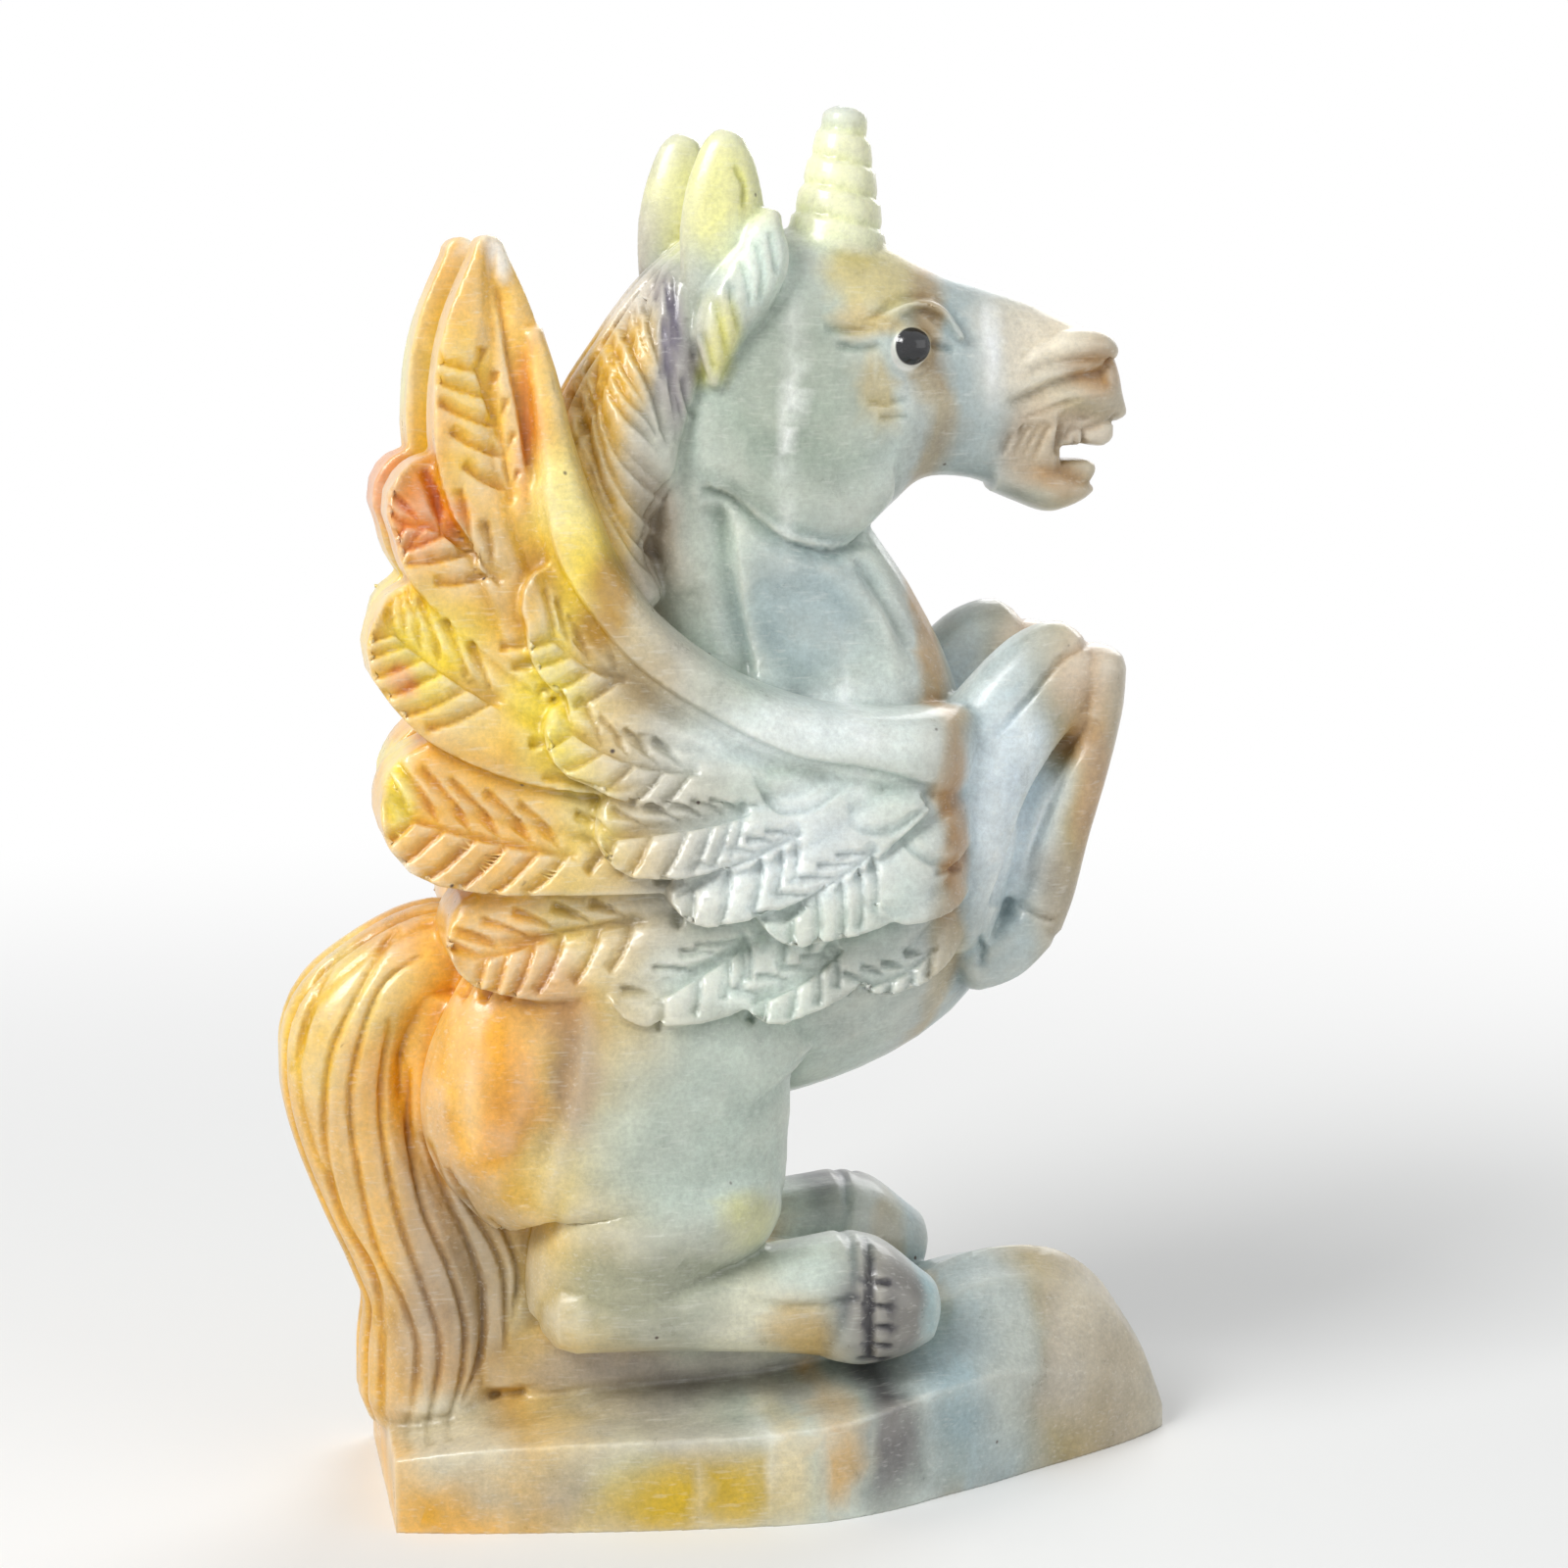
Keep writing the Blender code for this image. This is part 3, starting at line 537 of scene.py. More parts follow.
class Skin:
    """The stone's surface while it is cut: its points, and how deep each one is sunk or raised."""

    def __init__(self, mesh):
        self.points = vectors(mesh, "co") / MM
        self.normals = vectors(mesh, "normal")
        self.sunk = np.zeros(len(self.points))
        self.raised = np.zeros(len(self.points))

    def nearby(self, line, layer, width, side):
        """The points beside a line seen from the side, how far off it they lie, and how far along it."""
        inner, outer, shift_x, shift_z = LAYERS[layer]
        line = smooth_line(line)
        if side > 0:
            line = line + (shift_x, shift_z)
        low, high = line.min(0) - width, line.max(0) + width
        x, y, z = self.points.T
        near = (x > low[0]) & (x < high[0]) & (z > low[1]) & (z < high[1])
        near &= (y * side > inner) & (y * side < outer) & (self.normals[:, 1] * side > 0.05)
        chosen = np.nonzero(near)[0]
        flat = self.points[chosen][:, [0, 2]]
        off = np.full(len(chosen), 1e3)
        along = np.zeros(len(chosen))
        for i, (start, end) in enumerate(zip(line, line[1:])):
            run = end - start
            length = max(float(np.hypot(*run)), 1e-6)
            share = np.clip(((flat - start) @ run) / length**2, 0, 1)
            gap = flat - start - share[:, None] * run
            distance = np.hypot(gap[:, 0], gap[:, 1])
            distance *= np.where(run[0] * gap[:, 1] - run[1] * gap[:, 0] < 0, -1, 1)
            closer = np.abs(distance) < np.abs(off)
            off[closer] = distance[closer]
            along[closer] = (i + share[closer]) / (len(line) - 1)
        return chosen, off, along

    def profile(self, line, layer, width, side, lean, fade, soft):
        """A ridge-shaped weight beside the line. A lean moves its steep wall to one side of it."""
        chosen, off, along = self.nearby(line, layer, width * (1 + abs(lean)), side)
        wall = np.where(off > 0, width * (1 + lean), width * (1 - lean))
        weight = np.clip(1 - np.abs(off) / wall, 0, 1)
        if soft:
            weight = weight * weight * (3 - 2 * weight)
        first, last = fade if isinstance(fade, tuple) else (fade, fade)
        weight = weight * np.clip(along / first, 0, 1) ** 0.7 * np.clip((1 - along) / last, 0, 1) ** 0.7
        return chosen, weight

    def cut(self, line, layer, depth, width, lean=0.0, fade=0.25, soft=False):
        """A straight or soft cut on both sides of the figure. Where cuts meet, the deeper one counts."""
        for side in (-1, 1):
            chosen, weight = self.profile(line, layer, width, side, lean, fade, soft)
            self.sunk[chosen] = np.maximum(self.sunk[chosen], depth * weight)

    def bead(self, line, layer, height, width, fade=0.25):
        """A soft ridge that is left standing on both sides of the figure."""
        for side in (-1, 1):
            chosen, weight = self.profile(line, layer, width, side, 0.0, fade, True)
            self.raised[chosen] = np.maximum(self.raised[chosen], height * weight)

    def worked(self):
        """The points once the cuts are made, with the faint waves that filing by hand leaves."""
        waves = np.array([noise.noise(Vector(p) / WAVE_LENGTH) for p in self.points])
        waves += 0.5 * np.array([noise.noise(Vector(p) / (0.4 * WAVE_LENGTH)) for p in self.points])
        out = self.raised - self.sunk + WAVE_HEIGHT * (waves - 0.4)
        return self.points + self.normals * out[:, None]


# Quills of the feathers, tip first, with how many barbs each has and how long they are above and below
QUILLS = [
    ([(-33.8, 136.8), (-32.7, 129.6), (-31.4, 123), (-30.4, 114.9)], 0, 0.0, 0.0),
    ([(-36.3, 129), (-34.9, 124.7), (-33.5, 119.1), (-32.7, 113.5)], 5, 2.2, 4.6),
    ([(-45, 111.7), (-39.8, 110.7), (-34, 105)], 5, 5.0, 5.0),
    ([(-46, 100.9), (-41.5, 97), (-34.2, 92.1)], 6, 5.6, 6.4),
    ([(-45.4, 81), (-35.9, 78), (-26.4, 75.8)], 6, 6.4, 5.2),
    ([(-37.8, 65), (-29.8, 66.9), (-18.9, 68.4)], 6, 4.4, 4.8),
    ([(-29.3, 100.1), (-25.8, 97), (-20.5, 94.3)], 4, 4.6, 4.6),
    ([(-28.5, 90.6), (-20.6, 86.2), (-13.3, 84.8)], 5, 4.4, 3.8),
    ([(-24.6, 78.3), (-13.6, 79.4), (-8, 80.6)], 6, 3.6, 4.2),
    ([(-16.4, 71.8), (-6.9, 75.9), (-2, 78.2)], 5, 3.2, 4.2),
    ([(-5.3, 68.4), (1.9, 73), (6.3, 76)], 5, 3.6, 5.0),
    ([(-19.5, 59.6), (-10.2, 64.4), (-7.6, 66)], 5, 3.8, 3.2),
    ([(-8, 59.3), (-1.5, 62), (2.4, 64.8)], 4, 3.2, 2.8),
    ([(4, 60.7), (9, 62), (13.5, 64.6)], 4, 2.6, 2.2),
]


def cut_quills(skin):
    """A quill down each feather, and barbs cut like shingles: steep to the root, sloping to the tip."""
    for quill, barbs, above, below in QUILLS:
        skin.cut(quill, "wing", QUILL_DEPTH, QUILL_WIDTH, lean=0.6, fade=0.1)
        path = smooth_line(quill)
        for k in range(barbs):
            at = (k + 0.7) / (barbs + 0.3) * (len(path) - 1)
            i = min(int(at), len(path) - 2)
            start = path[i] + (at - i) * (path[i + 1] - path[i])
            x, z = (path[i] - path[i + 1]) / np.hypot(*(path[i] - path[i + 1]))
            swell = 1.15 + 0.35 * math.sin(math.pi * (k + 0.7) / (barbs + 0.3))
            for turn, length in ((-BARB_ANGLE_ABOVE, above), (BARB_ANGLE_BELOW, below)):
                c, s = math.cos(math.radians(turn)), math.sin(math.radians(turn))
                way = np.array([x * c - z * s, x * s + z * c])
                bend = np.array([-way[1], way[0]]) * math.copysign(0.06, turn) * length
                middle = start + way * 0.55 * length * swell + bend
                barb = [tuple(start), tuple(middle), tuple(start + way * length * swell)]
                lean = math.copysign(0.62, -turn)
                skin.cut(barb, "wing", BARB_DEPTH, BARB_WIDTH, lean=lean, fade=(0.03, 0.16))


def cut_wing(skin):
    """The line under the arm, and the edges of the small feathers and of two long ones."""
    under_arm = [
        (-30, 118), (-28.9, 108.6), (-25.4, 102.2), (-21.2, 97), (-16.9, 93.5), (-11.8, 90.4), (-7.1, 87.7),
        (-3.2, 86.0), (0.8, 85.2), (4.3, 84.7), (7.8, 83.8), (11.3, 82.6), (13.1, 82.5),
    ]
    skin.cut(under_arm, "wing", 0.7, 1.8, lean=-0.6, fade=0.1)
    for line in (
        [(-7.5, 84.7), (-6.2, 82.1), (-4.5, 80.5), (-1.4, 80.6), (1.2, 82.0), (4.0, 83.4)],
        [(2.5, 79.2), (4.7, 78.0), (7.8, 77.9), (10.5, 79.5), (13.0, 81.4)],
        [(8.5, 77.0), (10.9, 74.9), (13.6, 73.7), (15.9, 73.9)],
        [(12.3, 73.1), (16.5, 73.0)],
        [(-28.5, 105.0), (-27.5, 101.2), (-25.2, 97.8), (-21.8, 95.2)],
        [(-30.4, 84.4), (-28.7, 84.4), (-25.3, 83.8), (-18.5, 83.6)],
    ):
        skin.cut(line, "wing", 0.6, 0.8, lean=0.4)


def cut_hair(skin):
    """Locks of the mane and forelock, and the long lines of the tail."""
    for line in (
        [(-16.6, 138.6), (-17.2, 135.8), (-16.8, 132.3), (-15.8, 128.8), (-15.4, 125.3)],
        [(-19.3, 136.8), (-19.7, 133.4), (-18.6, 129.5), (-16.9, 126.0), (-15.5, 121.4), (-15.1, 119.3)],
        [(-22.7, 129.2), (-23.0, 126.0), (-22.3, 122.2), (-20.7, 118.6), (-18.0, 115.8), (-14.8, 113.2)],
        [(-23.8, 127.1), (-23.3, 122.9), (-22.7, 120.1), (-21.3, 116.5), (-19.1, 113.3), (-14.8, 109.3)],
        [(-25.1, 126.1), (-24.4, 122.2), (-23.4, 118.0), (-22.0, 114.4), (-19.9, 110.8), (-14.1, 105.4)],
    ):
        skin.cut(line, "neck", 1.2, 1.3, lean=0.6, fade=(0.12, 0.4))
    for line in (
        [(-22.0, 129.5), (-21.7, 126.0), (-19.8, 122.9), (-17.3, 120.4), (-15.5, 118.2)],
        [(-17.9, 137.5), (-18.2, 134.8), (-17.7, 131.3), (-16.3, 127.8), (-15.6, 124.2)],
        [(-20.6, 134.8), (-20.9, 131.3), (-19.7, 127.8), (-17.6, 124.2), (-15.7, 120.0)],
        [(-21.2, 127.8), (-19.4, 124.6), (-16.9, 122.1), (-15.4, 118.6)],
        [(-22.4, 125.7), (-21.4, 121.5), (-19.1, 118.3), (-15.9, 115.4), (-14.6, 113.9)],
        [(-21.8, 118.3), (-20.2, 115.1), (-17.7, 112.2), (-14.6, 110.0)],
        [(-21.3, 113.3), (-18.8, 109.7), (-15.9, 107.2), (-14.5, 106.3)],
        [(-15.4, 139.9), (-15.9, 137.4), (-16.0, 134.2), (-15.7, 131.0)],
        [(-15.2, 133.7), (-15.1, 129.5), (-14.4, 125.3), (-13.8, 121.4)],
        [(-24.3, 119.5), (-23.2, 115.6), (-21.4, 111.8), (-18.6, 107.6), (-16.4, 105.4)],
    ):
        skin.cut(line, "neck", 0.75, 0.8, lean=0.5, fade=(0.15, 0.45))
    for line in (
        [(-14.6, 137.9), (-14.3, 134.1), (-14.0, 129.5)], [(-13.6, 138.2), (-13.8, 134.1), (-13.4, 130.5)],
        [(-12.2, 131.2), (-11.3, 128.1), (-10.6, 126.3)], [(-13.3, 127.0), (-12.6, 124.6), (-11.5, 122.1)],
        [(-14.3, 129.1), (-13.8, 125.3), (-12.9, 122.1)], [(-18.9, 136), (-19.2, 132.8), (-18.2, 129.6)],
        [(-21.2, 131.2), (-20.4, 127.6), (-18.4, 124.8)], [(-22.9, 119.6), (-21, 116.2), (-18.4, 113.4)],
        [(-20.8, 120.6), (-18.6, 117.2), (-16, 114.6)], [(-22.6, 124), (-21.4, 119.8), (-19.6, 116.8)],
        [(-20, 112.4), (-17.6, 109.4), (-15.2, 107.8)], [(-18, 127.4), (-16.9, 124.4), (-15.8, 122.4)],
    ):
        skin.cut(line, "neck", 0.45, 0.5)
    for line in (
        [(-3.9, 142.7), (-3.5, 140.5), (-3.0, 137.7)], [(-5.5, 141.5), (-4.8, 138.3), (-5.0, 134.5)],
        [(-7.1, 139.6), (-6.5, 137.1), (-6.0, 134.5)], [(-8.4, 137.1), (-8.1, 134.5), (-7.1, 131.4)],
        [(-10.0, 135.2), (-9.4, 132.6), (-8.4, 128.8)], [(-11.5, 131.8), (-10.6, 129.6), (-9.8, 127.4)],
    ):
        skin.cut(line, "head", 0.4, 0.6, lean=0.5, fade=0.2)
    for line in (
        [(-45.1, 69), (-50.7, 65.1), (-55.1, 57.6), (-57, 50.4)],
        [(-44.6, 66.4), (-47.2, 63.9), (-52.4, 54.8), (-53.8, 48.1), (-53.7, 41.3), (-52.1, 33.8),
         (-48.7, 27.1), (-48, 19.6), (-48.3, 9.8)],
        [(-42, 64), (-47.3, 60.3), (-50.5, 51.6), (-50.9, 45.3), (-50, 37.9), (-48.4, 30.3),
         (-45.9, 24.8), (-44.2, 19.3), (-44.6, 13.9), (-45.7, 8)],
        [(-46.1, 57.1), (-47.5, 48.8), (-47.1, 40.9), (-45.7, 33.4), (-43.3, 25.7), (-41.6, 19.1),
         (-42.5, 12.6), (-44.2, 6.8)],
        [(-44.4, 51.3), (-44.5, 43.9), (-43.1, 35.3), (-40.2, 27.6), (-38.7, 21.1), (-39.3, 14.6),
         (-42.1, 7.7)],
        [(-43.0, 43.8), (-41.0, 37.3), (-38.1, 30.2), (-36.6, 24.2), (-37.0, 17.1), (-39.4, 11.9)],
        [(-41.0, 41.0), (-38.0, 35.0), (-35.0, 29.4), (-34.0, 25.1), (-34.1, 17.5)],
        [(-36.4, 36.0), (-33.9, 31.5), (-32.6, 26.6), (-33.5, 20.7)],
    ):
        skin.cut(line, "tail", 0.6, 0.6, lean=0.3, fade=(0.08, 0.2))


def cut_head(skin):
    """The lids and their folds, the cheek's ticks, nose, gum, mouth folds, the jaw's step and the ear."""
    upper_lid = [(9.6, 131.6), (10.6, 133.0), (12.2, 133.9), (13.9, 133.5), (15.3, 132.2), (16.6, 131.0)]
    skin.bead(upper_lid, "head", 0.25, 0.7, fade=0.3)
    over_lid = [(5.6, 132.3), (8.6, 133.4), (11.2, 135.0), (13.3, 135.4), (15.2, 134.4), (17.9, 132.2)]
    skin.cut(over_lid, "head", 0.55, 0.8)
    skin.cut([(2.8, 132.0), (6.0, 131.9), (9.0, 132.6)], "head", 0.5, 0.7)
    skin.cut([(3.9, 130.4), (6.9, 129.9), (9.4, 130.3)], "head", 0.5, 0.7)
    skin.cut([(15.0, 130.4), (16.4, 130.1), (18.0, 129.6)], "head", 0.6, 0.7)
    lower_lid = [(10.1, 130.4), (10.6, 128.2), (12.6, 127.1), (14.6, 127.9), (15.3, 129.8)]
    skin.bead(lower_lid, "head", 0.2, 0.6, fade=0.2)
    skin.cut([(7.6, 123.9), (9.9, 123.8), (12.5, 124.2)], "head", 0.3, 0.45)
    skin.cut([(8.9, 122.1), (12.5, 122.3)], "head", 0.3, 0.45)
    nose = [(24.7, 123.6), (27.3, 124.7), (30.0, 125.9), (32.7, 126.6), (35.0, 127.0), (36.7, 127.3)]
    skin.cut(nose, "head", 1.2, 1.6, lean=-0.5, fade=(0.3, 0.1))
    skin.cut([(35.3, 126.6), (36.2, 127.4), (37.0, 128.5)], "head", 0.7, 0.7, fade=0.15)
    skin.cut([(25.6, 121.5), (27.8, 122.4), (31.1, 123.6), (33.6, 124.2)], "head", 0.35, 0.6)
    gum = [(31.4, 119.2), (32.4, 120.6), (34.2, 120.7), (36.4, 121.4), (38.4, 121.7)]
    skin.cut(gum, "head", 0.6, 0.7, fade=0.1)
    skin.cut([(34.1, 120.8), (34.1, 118.2)], "head", 0.7, 0.5, fade=0.05)
    skin.cut([(32.9, 120.8), (32.9, 118.4)], "head", 0.4, 0.35, fade=0.05)
    for line in (
        [(25.4, 117.2), (27.0, 120.5), (27.8, 121.2)], [(26.4, 117.0), (28.1, 120.3), (28.8, 121.1)],
        [(27.7, 116.8), (29.0, 120.0), (29.8, 121.2)], [(30.6, 117.6), (31.0, 119.4), (32.0, 121.0)],
        [(24.2, 117.6), (25.4, 120.4)],
    ):
        skin.cut(line, "head", 0.45, 0.8, lean=0.5, fade=0.3)
    jaw = [
        (-10.8, 114.9), (-7.5, 113.7), (-4.4, 111.2), (-1.3, 108.9), (3.1, 107.8), (6.2, 108.1), (8.1, 109.2),
    ]
    skin.cut(jaw, "neck", 0.95, 1.2, lean=-0.8, fade=0.1)
    skin.cut([(-7.4, 149.6), (-6.2, 147.6), (-6.3, 144.8)], "ear", 0.5, 0.5)


def cut_body(skin):
    """The hollows of neck and haunch, the lines of legs and hooves, and the edge of the rock."""
    skin.bead([(-15.6, 121), (-14.6, 115), (-13.6, 109), (-12.4, 103)], "neck", 0.7, 2.6, fade=0.2)
    skin.bead([(-29, 35.5), (-20, 33.6), (-11, 33.4), (-3, 35)], "thigh", 1.5, 6.5, fade=0.3)
    haunch = [(-27.5, 60.7), (-28.3, 54.2), (-29.2, 48.8), (-31.2, 42.3), (-32.6, 36.9)]
    skin.cut(haunch, "thigh", 0.9, 3.2, lean=-0.3, fade=0.3, soft=True)
    skin.bead([(-37.3, 60.1), (-37.8, 54.7), (-37.7, 48.2), (-35.5, 42.6)], "thigh", 0.6, 3.4, fade=0.4)
    valley = [(-8.9, 113.4), (-8.3, 110.6), (-7.9, 105.4), (-7.3, 101.5), (-6.4, 96.6), (-6.0, 93.0)]
    skin.cut(valley, "neck", 1.3, 2.4, lean=-0.3, fade=0.15, soft=True)
    skin.cut([(-7.0, 103.4), (-3.9, 97.9), (-0.4, 94.7), (4.4, 92.0)], "neck", 0.8, 4.6, fade=0.3, soft=True)
    skin.cut([(6.8, 107.7), (10.4, 101.5), (12.7, 96.6)], "neck", 0.6, 2.0, fade=0.3, soft=True)
    skin.bead([(2.3, 106.1), (6.8, 102.5), (9.5, 98.9), (11.1, 93.1)], "neck", 0.5, 2.2, fade=0.3)
    skin.cut([(-8.7, 25.4), (-3.2, 24.3), (1, 24.4), (5.3, 25.3)], "hoof", 0.4, 0.8)
    skin.cut([(6.6, 30), (6.0, 26), (5.8, 21.3), (6.2, 16.5)], "hoof", 0.8, 1.0, lean=-0.3, fade=0.15)
    for z in (26.6, 24.0, 21.6, 19.2, 17.0):
        skin.cut([(4.4, z + 0.3), (8.4, z - 0.4)], "hoof", 0.5, 0.5)
    skin.cut([(20.8, 86.8), (24.8, 90.5), (29.2, 95.3), (33.7, 97.1)], "foreleg", 0.55, 0.7, lean=0.5)
    under = [(32.6, 89.0), (31.6, 87.2), (29.4, 84.6), (27.4, 81.7), (24.9, 77.3), (23.0, 72.5), (21.0, 67.6)]
    skin.cut(under, "foreleg", 1.6, 1.7, lean=0.4, fade=(0.3, 0.1))
    shin = [(32.8, 92.3), (31.4, 86.0), (29.4, 81.1), (27.5, 75.8), (25.5, 70.9)]
    skin.cut(shin, "foreleg", 0.5, 0.7, fade=0.2)
    skin.cut([(24.6, 67.4), (27.0, 66.0), (29.2, 65.3)], "foreleg", 0.5, 0.7, lean=0.5)
    skin.cut([(19.5, 64.7), (20.3, 62.7), (19.8, 60.7)], "foreleg", 0.6, 0.7)
    rim = [(-46, 9.6), (-30, 11.4), (-14, 11.2), (0, 12.2), (12, 13.0), (24, 13.6)]
    skin.cut(rim, "rock", 0.35, 1.2, lean=0.5)


def stone_block():
    """All the overlapping forms, before they are made one body."""
    stone = bmesh.new()
    torso(stone)
    head(stone)
    horn(stone)
    mane(stone)
    tail(stone)
    base(stone)
    for side in (-1, 1):
        hind_leg(stone, side)
        foreleg(stone, side)
        ear(stone, side)
        wing(stone, side)
    bmesh.ops.recalc_face_normals(stone, faces=stone.faces)
    mesh = bpy.data.meshes.new("roughed out")
    stone.to_mesh(mesh)
    stone.free()
    return mesh


def with_modifiers(mesh, settings):
    """The mesh after these modifiers, each a (type, settings) pair."""
    thing = bpy.data.objects.new("worked", mesh)
    bpy.context.scene.collection.objects.link(thing)
    for kind, values in settings:
        modifier = thing.modifiers.new(kind.lower(), kind)
        for name, value in values.items():
            setattr(modifier, name, value)
    graph = bpy.context.evaluated_depsgraph_get()
    made = bpy.data.meshes.new_from_object(thing.evaluated_get(graph))
    bpy.data.objects.remove(thing)
    return made


def outer_skin(mesh):
    """Drops the sealed hollows that the overlapping forms leave inside the stone."""
    count = len(mesh.vertices)
    edges = np.empty(len(mesh.edges) * 2, np.int64)
    mesh.edges.foreach_get("vertices", edges)
    edges = edges.reshape(-1, 2)
    label = np.arange(count)
    while True:
        lowest = np.minimum(label[edges[:, 0]], label[edges[:, 1]])
        before = label.copy()
        np.minimum.at(label, edges[:, 0], lowest)
        np.minimum.at(label, edges[:, 1], lowest)
        label = label[label]
        if (label == before).all():
            break
    names, sizes = np.unique(label, return_counts=True)
    if len(names) == 1:
        return
    loose = np.nonzero(label != names[sizes.argmax()])[0]
    skin = bmesh.new()
    skin.from_mesh(mesh)
    skin.verts.ensure_lookup_table()
    bmesh.ops.delete(skin, geom=[skin.verts[int(i)] for i in loose], context="VERTS")
    skin.to_mesh(mesh)
    skin.free()


def vectors(mesh, name):
    """One vector for each point of the mesh."""
    flat = np.empty(len(mesh.vertices) * 3)
    mesh.vertices.foreach_get(name, flat)
    return flat.reshape(-1, 3)


def write_tint(mesh):
    """Stores the block's colours: bands along X, the stains laid over them with a painted highlight among
    them, then the white veins.
    """
    noise.seed_set(WAVER_SEED)
    points = vectors(mesh, "co") / MM
    waver = np.array([
        noise.noise_vector(Vector(p) / WAVER_LONG) + 0.5 * noise.noise_vector(Vector(p) / WAVER_SHORT)
        for p in points
    ])
    straight = points + VEIN_WAVER * waver
    points = points + WAVER * waver
    places = [x for x, _ in BANDS]
    bands = np.array([linear(colour)[:3] for _, colour in BANDS])
    tint = np.stack([np.interp(points[:, 0], places, bands[:, i]) for i in range(3)], axis=1)
    broken = np.clip(0.8 + np.array([noise.noise(Vector(p) / VEIN_BREAKS) for p in points]), 0, 1)
    for table, start in ((STAINS, points), (VEINS, straight)):
        for x, z, reach_x, reach_z, colour, strength, *side in table:
            y, reach_y = side or THROUGH
            far = np.linalg.norm((start - (x, y, z)) / np.array((reach_x, reach_y, reach_z)), axis=1)
            if table is STAINS:
                share = np.clip((STAIN_SPREAD - far) / (STAIN_SPREAD - STAIN_CORE), 0, 1)
                share = strength * share * share * (3 - 2 * share)
            else:
                share = strength * np.clip(VEIN_SPREAD - far, 0, 1) * broken
            tint += (np.array(linear(colour)[:3]) - tint) * share[:, None]
    made = mesh.attributes.new("block", "FLOAT_COLOR", "POINT")
    made.data.foreach_set("color", np.hstack([tint, np.ones((len(tint), 1))]).astype(np.float32).ravel())


# Hollows and edges show where the skin moves when it is evened out: a few steps find the chisel lines, and
# many the folds between the limbs. Each has the depth in millimetres where it starts, over how much more it
# grows, and its most
FINE_STEPS = 6
BROAD_STEPS = 40
FINE_HOLLOW = (0.0, 0.2, 0.65)
BROAD_HOLLOW = (0.15, 1.4, 0.5)
EDGE = (0.03, 0.17, 1.0)


def write_hollows(mesh):
    """Stores how deep each point lies in a hollow, and how far it stands out on an edge."""
    count = len(mesh.vertices)
    points = vectors(mesh, "co") / MM
    normals = vectors(mesh, "normal")
    edges = np.empty(len(mesh.edges) * 2, np.int64)
    mesh.edges.foreach_get("vertices", edges)
    a, b = edges.reshape(-1, 2).T
    weight = 1 / np.maximum(np.linalg.norm(points[a] - points[b], axis=1), 0.05)
    total = np.bincount(a, weight, count) + np.bincount(b, weight, count)

    def evened(values):
        summed = np.bincount(a, weight * values[b], count) + np.bincount(b, weight * values[a], count)
        return summed / total

    settled = points.copy()
    depths = []
    for step in range(1, BROAD_STEPS + 1):
        for axis in range(3):
            settled[:, axis] = 0.5 * settled[:, axis] + 0.5 * evened(settled[:, axis])
        if step in (FINE_STEPS, BROAD_STEPS):
            depths.append(((settled - points) * normals).sum(1))
    fine, broad = depths
    fine_share, broad_share, edge = [
        np.clip((depth - start) / over, 0, 1) * most
        for depth, (start, over, most) in ((fine, FINE_HOLLOW), (broad, BROAD_HOLLOW), (-fine, EDGE))
    ]
    for name, values in (("hollow", fine_share + broad_share), ("edge", edge)):
        values = 0.5 * values + 0.5 * evened(values)
        made = mesh.attributes.new(name, "FLOAT", "POINT")
        made.data.foreach_set("value", np.clip(values, 0, 1).astype(np.float32))


def carved_unicorn():
    """The finished stone: one body, cut, flat under the foot and light enough to keep."""
    remesh = ("REMESH", {"mode": "VOXEL", "voxel_size": CARVE_GRAIN * MM})
    mesh = with_modifiers(stone_block(), [remesh, ("SMOOTH", {"factor": 0.5, "iterations": 2})])
    outer_skin(mesh)
    skin = Skin(mesh)
    cut_quills(skin)
    cut_wing(skin)
    cut_hair(skin)
    cut_head(skin)
    cut_body(skin)
    points = skin.worked()
    under = (points[:, 2] < SAWN_REACH) & (skin.normals[:, 2] < -0.5)
    points[under, 2] = 0.0
    points[:, 2] = np.maximum(points[:, 2], 0.0)
    points = np.clip(points, np.array(cad_box[0]) / MM, np.array(cad_box[1]) / MM)
    mesh.vertices.foreach_set("co", (points * MM).ravel())
    mesh.update()
    triangles = sum(len(face.vertices) - 2 for face in mesh.polygons)
    mesh = with_modifiers(mesh, [("DECIMATE", {"ratio": min(1.0, MOST_TRIANGLES / triangles)})])
    mesh.polygons.foreach_set("use_smooth", [True] * len(mesh.polygons))
    write_hollows(mesh)
    write_tint(mesh)
    return mesh


def linear(colour):
    """An sRGB hex value as linear numbers for a shader."""
    parts = [int(colour[i : i + 2], 16) / 255 for i in (1, 3, 5)]
    return tuple(c / 12.92 if c <= 0.04045 else ((c + 0.055) / 1.055) ** 2.4 for c in parts) + (1.0,)


def add(tree, kind, links=(), inputs=(), **settings):
    """Adds a node with its settings, its input values and its links from (node, output) pairs."""
    node = tree.nodes.new("ShaderNode" + kind)
    for name, value in settings.items():
        setattr(node, name, value)
    for name, value in dict(inputs).items():
        node.inputs[name].default_value = value
    for name, source in dict(links).items():
        tree.links.new(source, node.inputs[name])
    return node


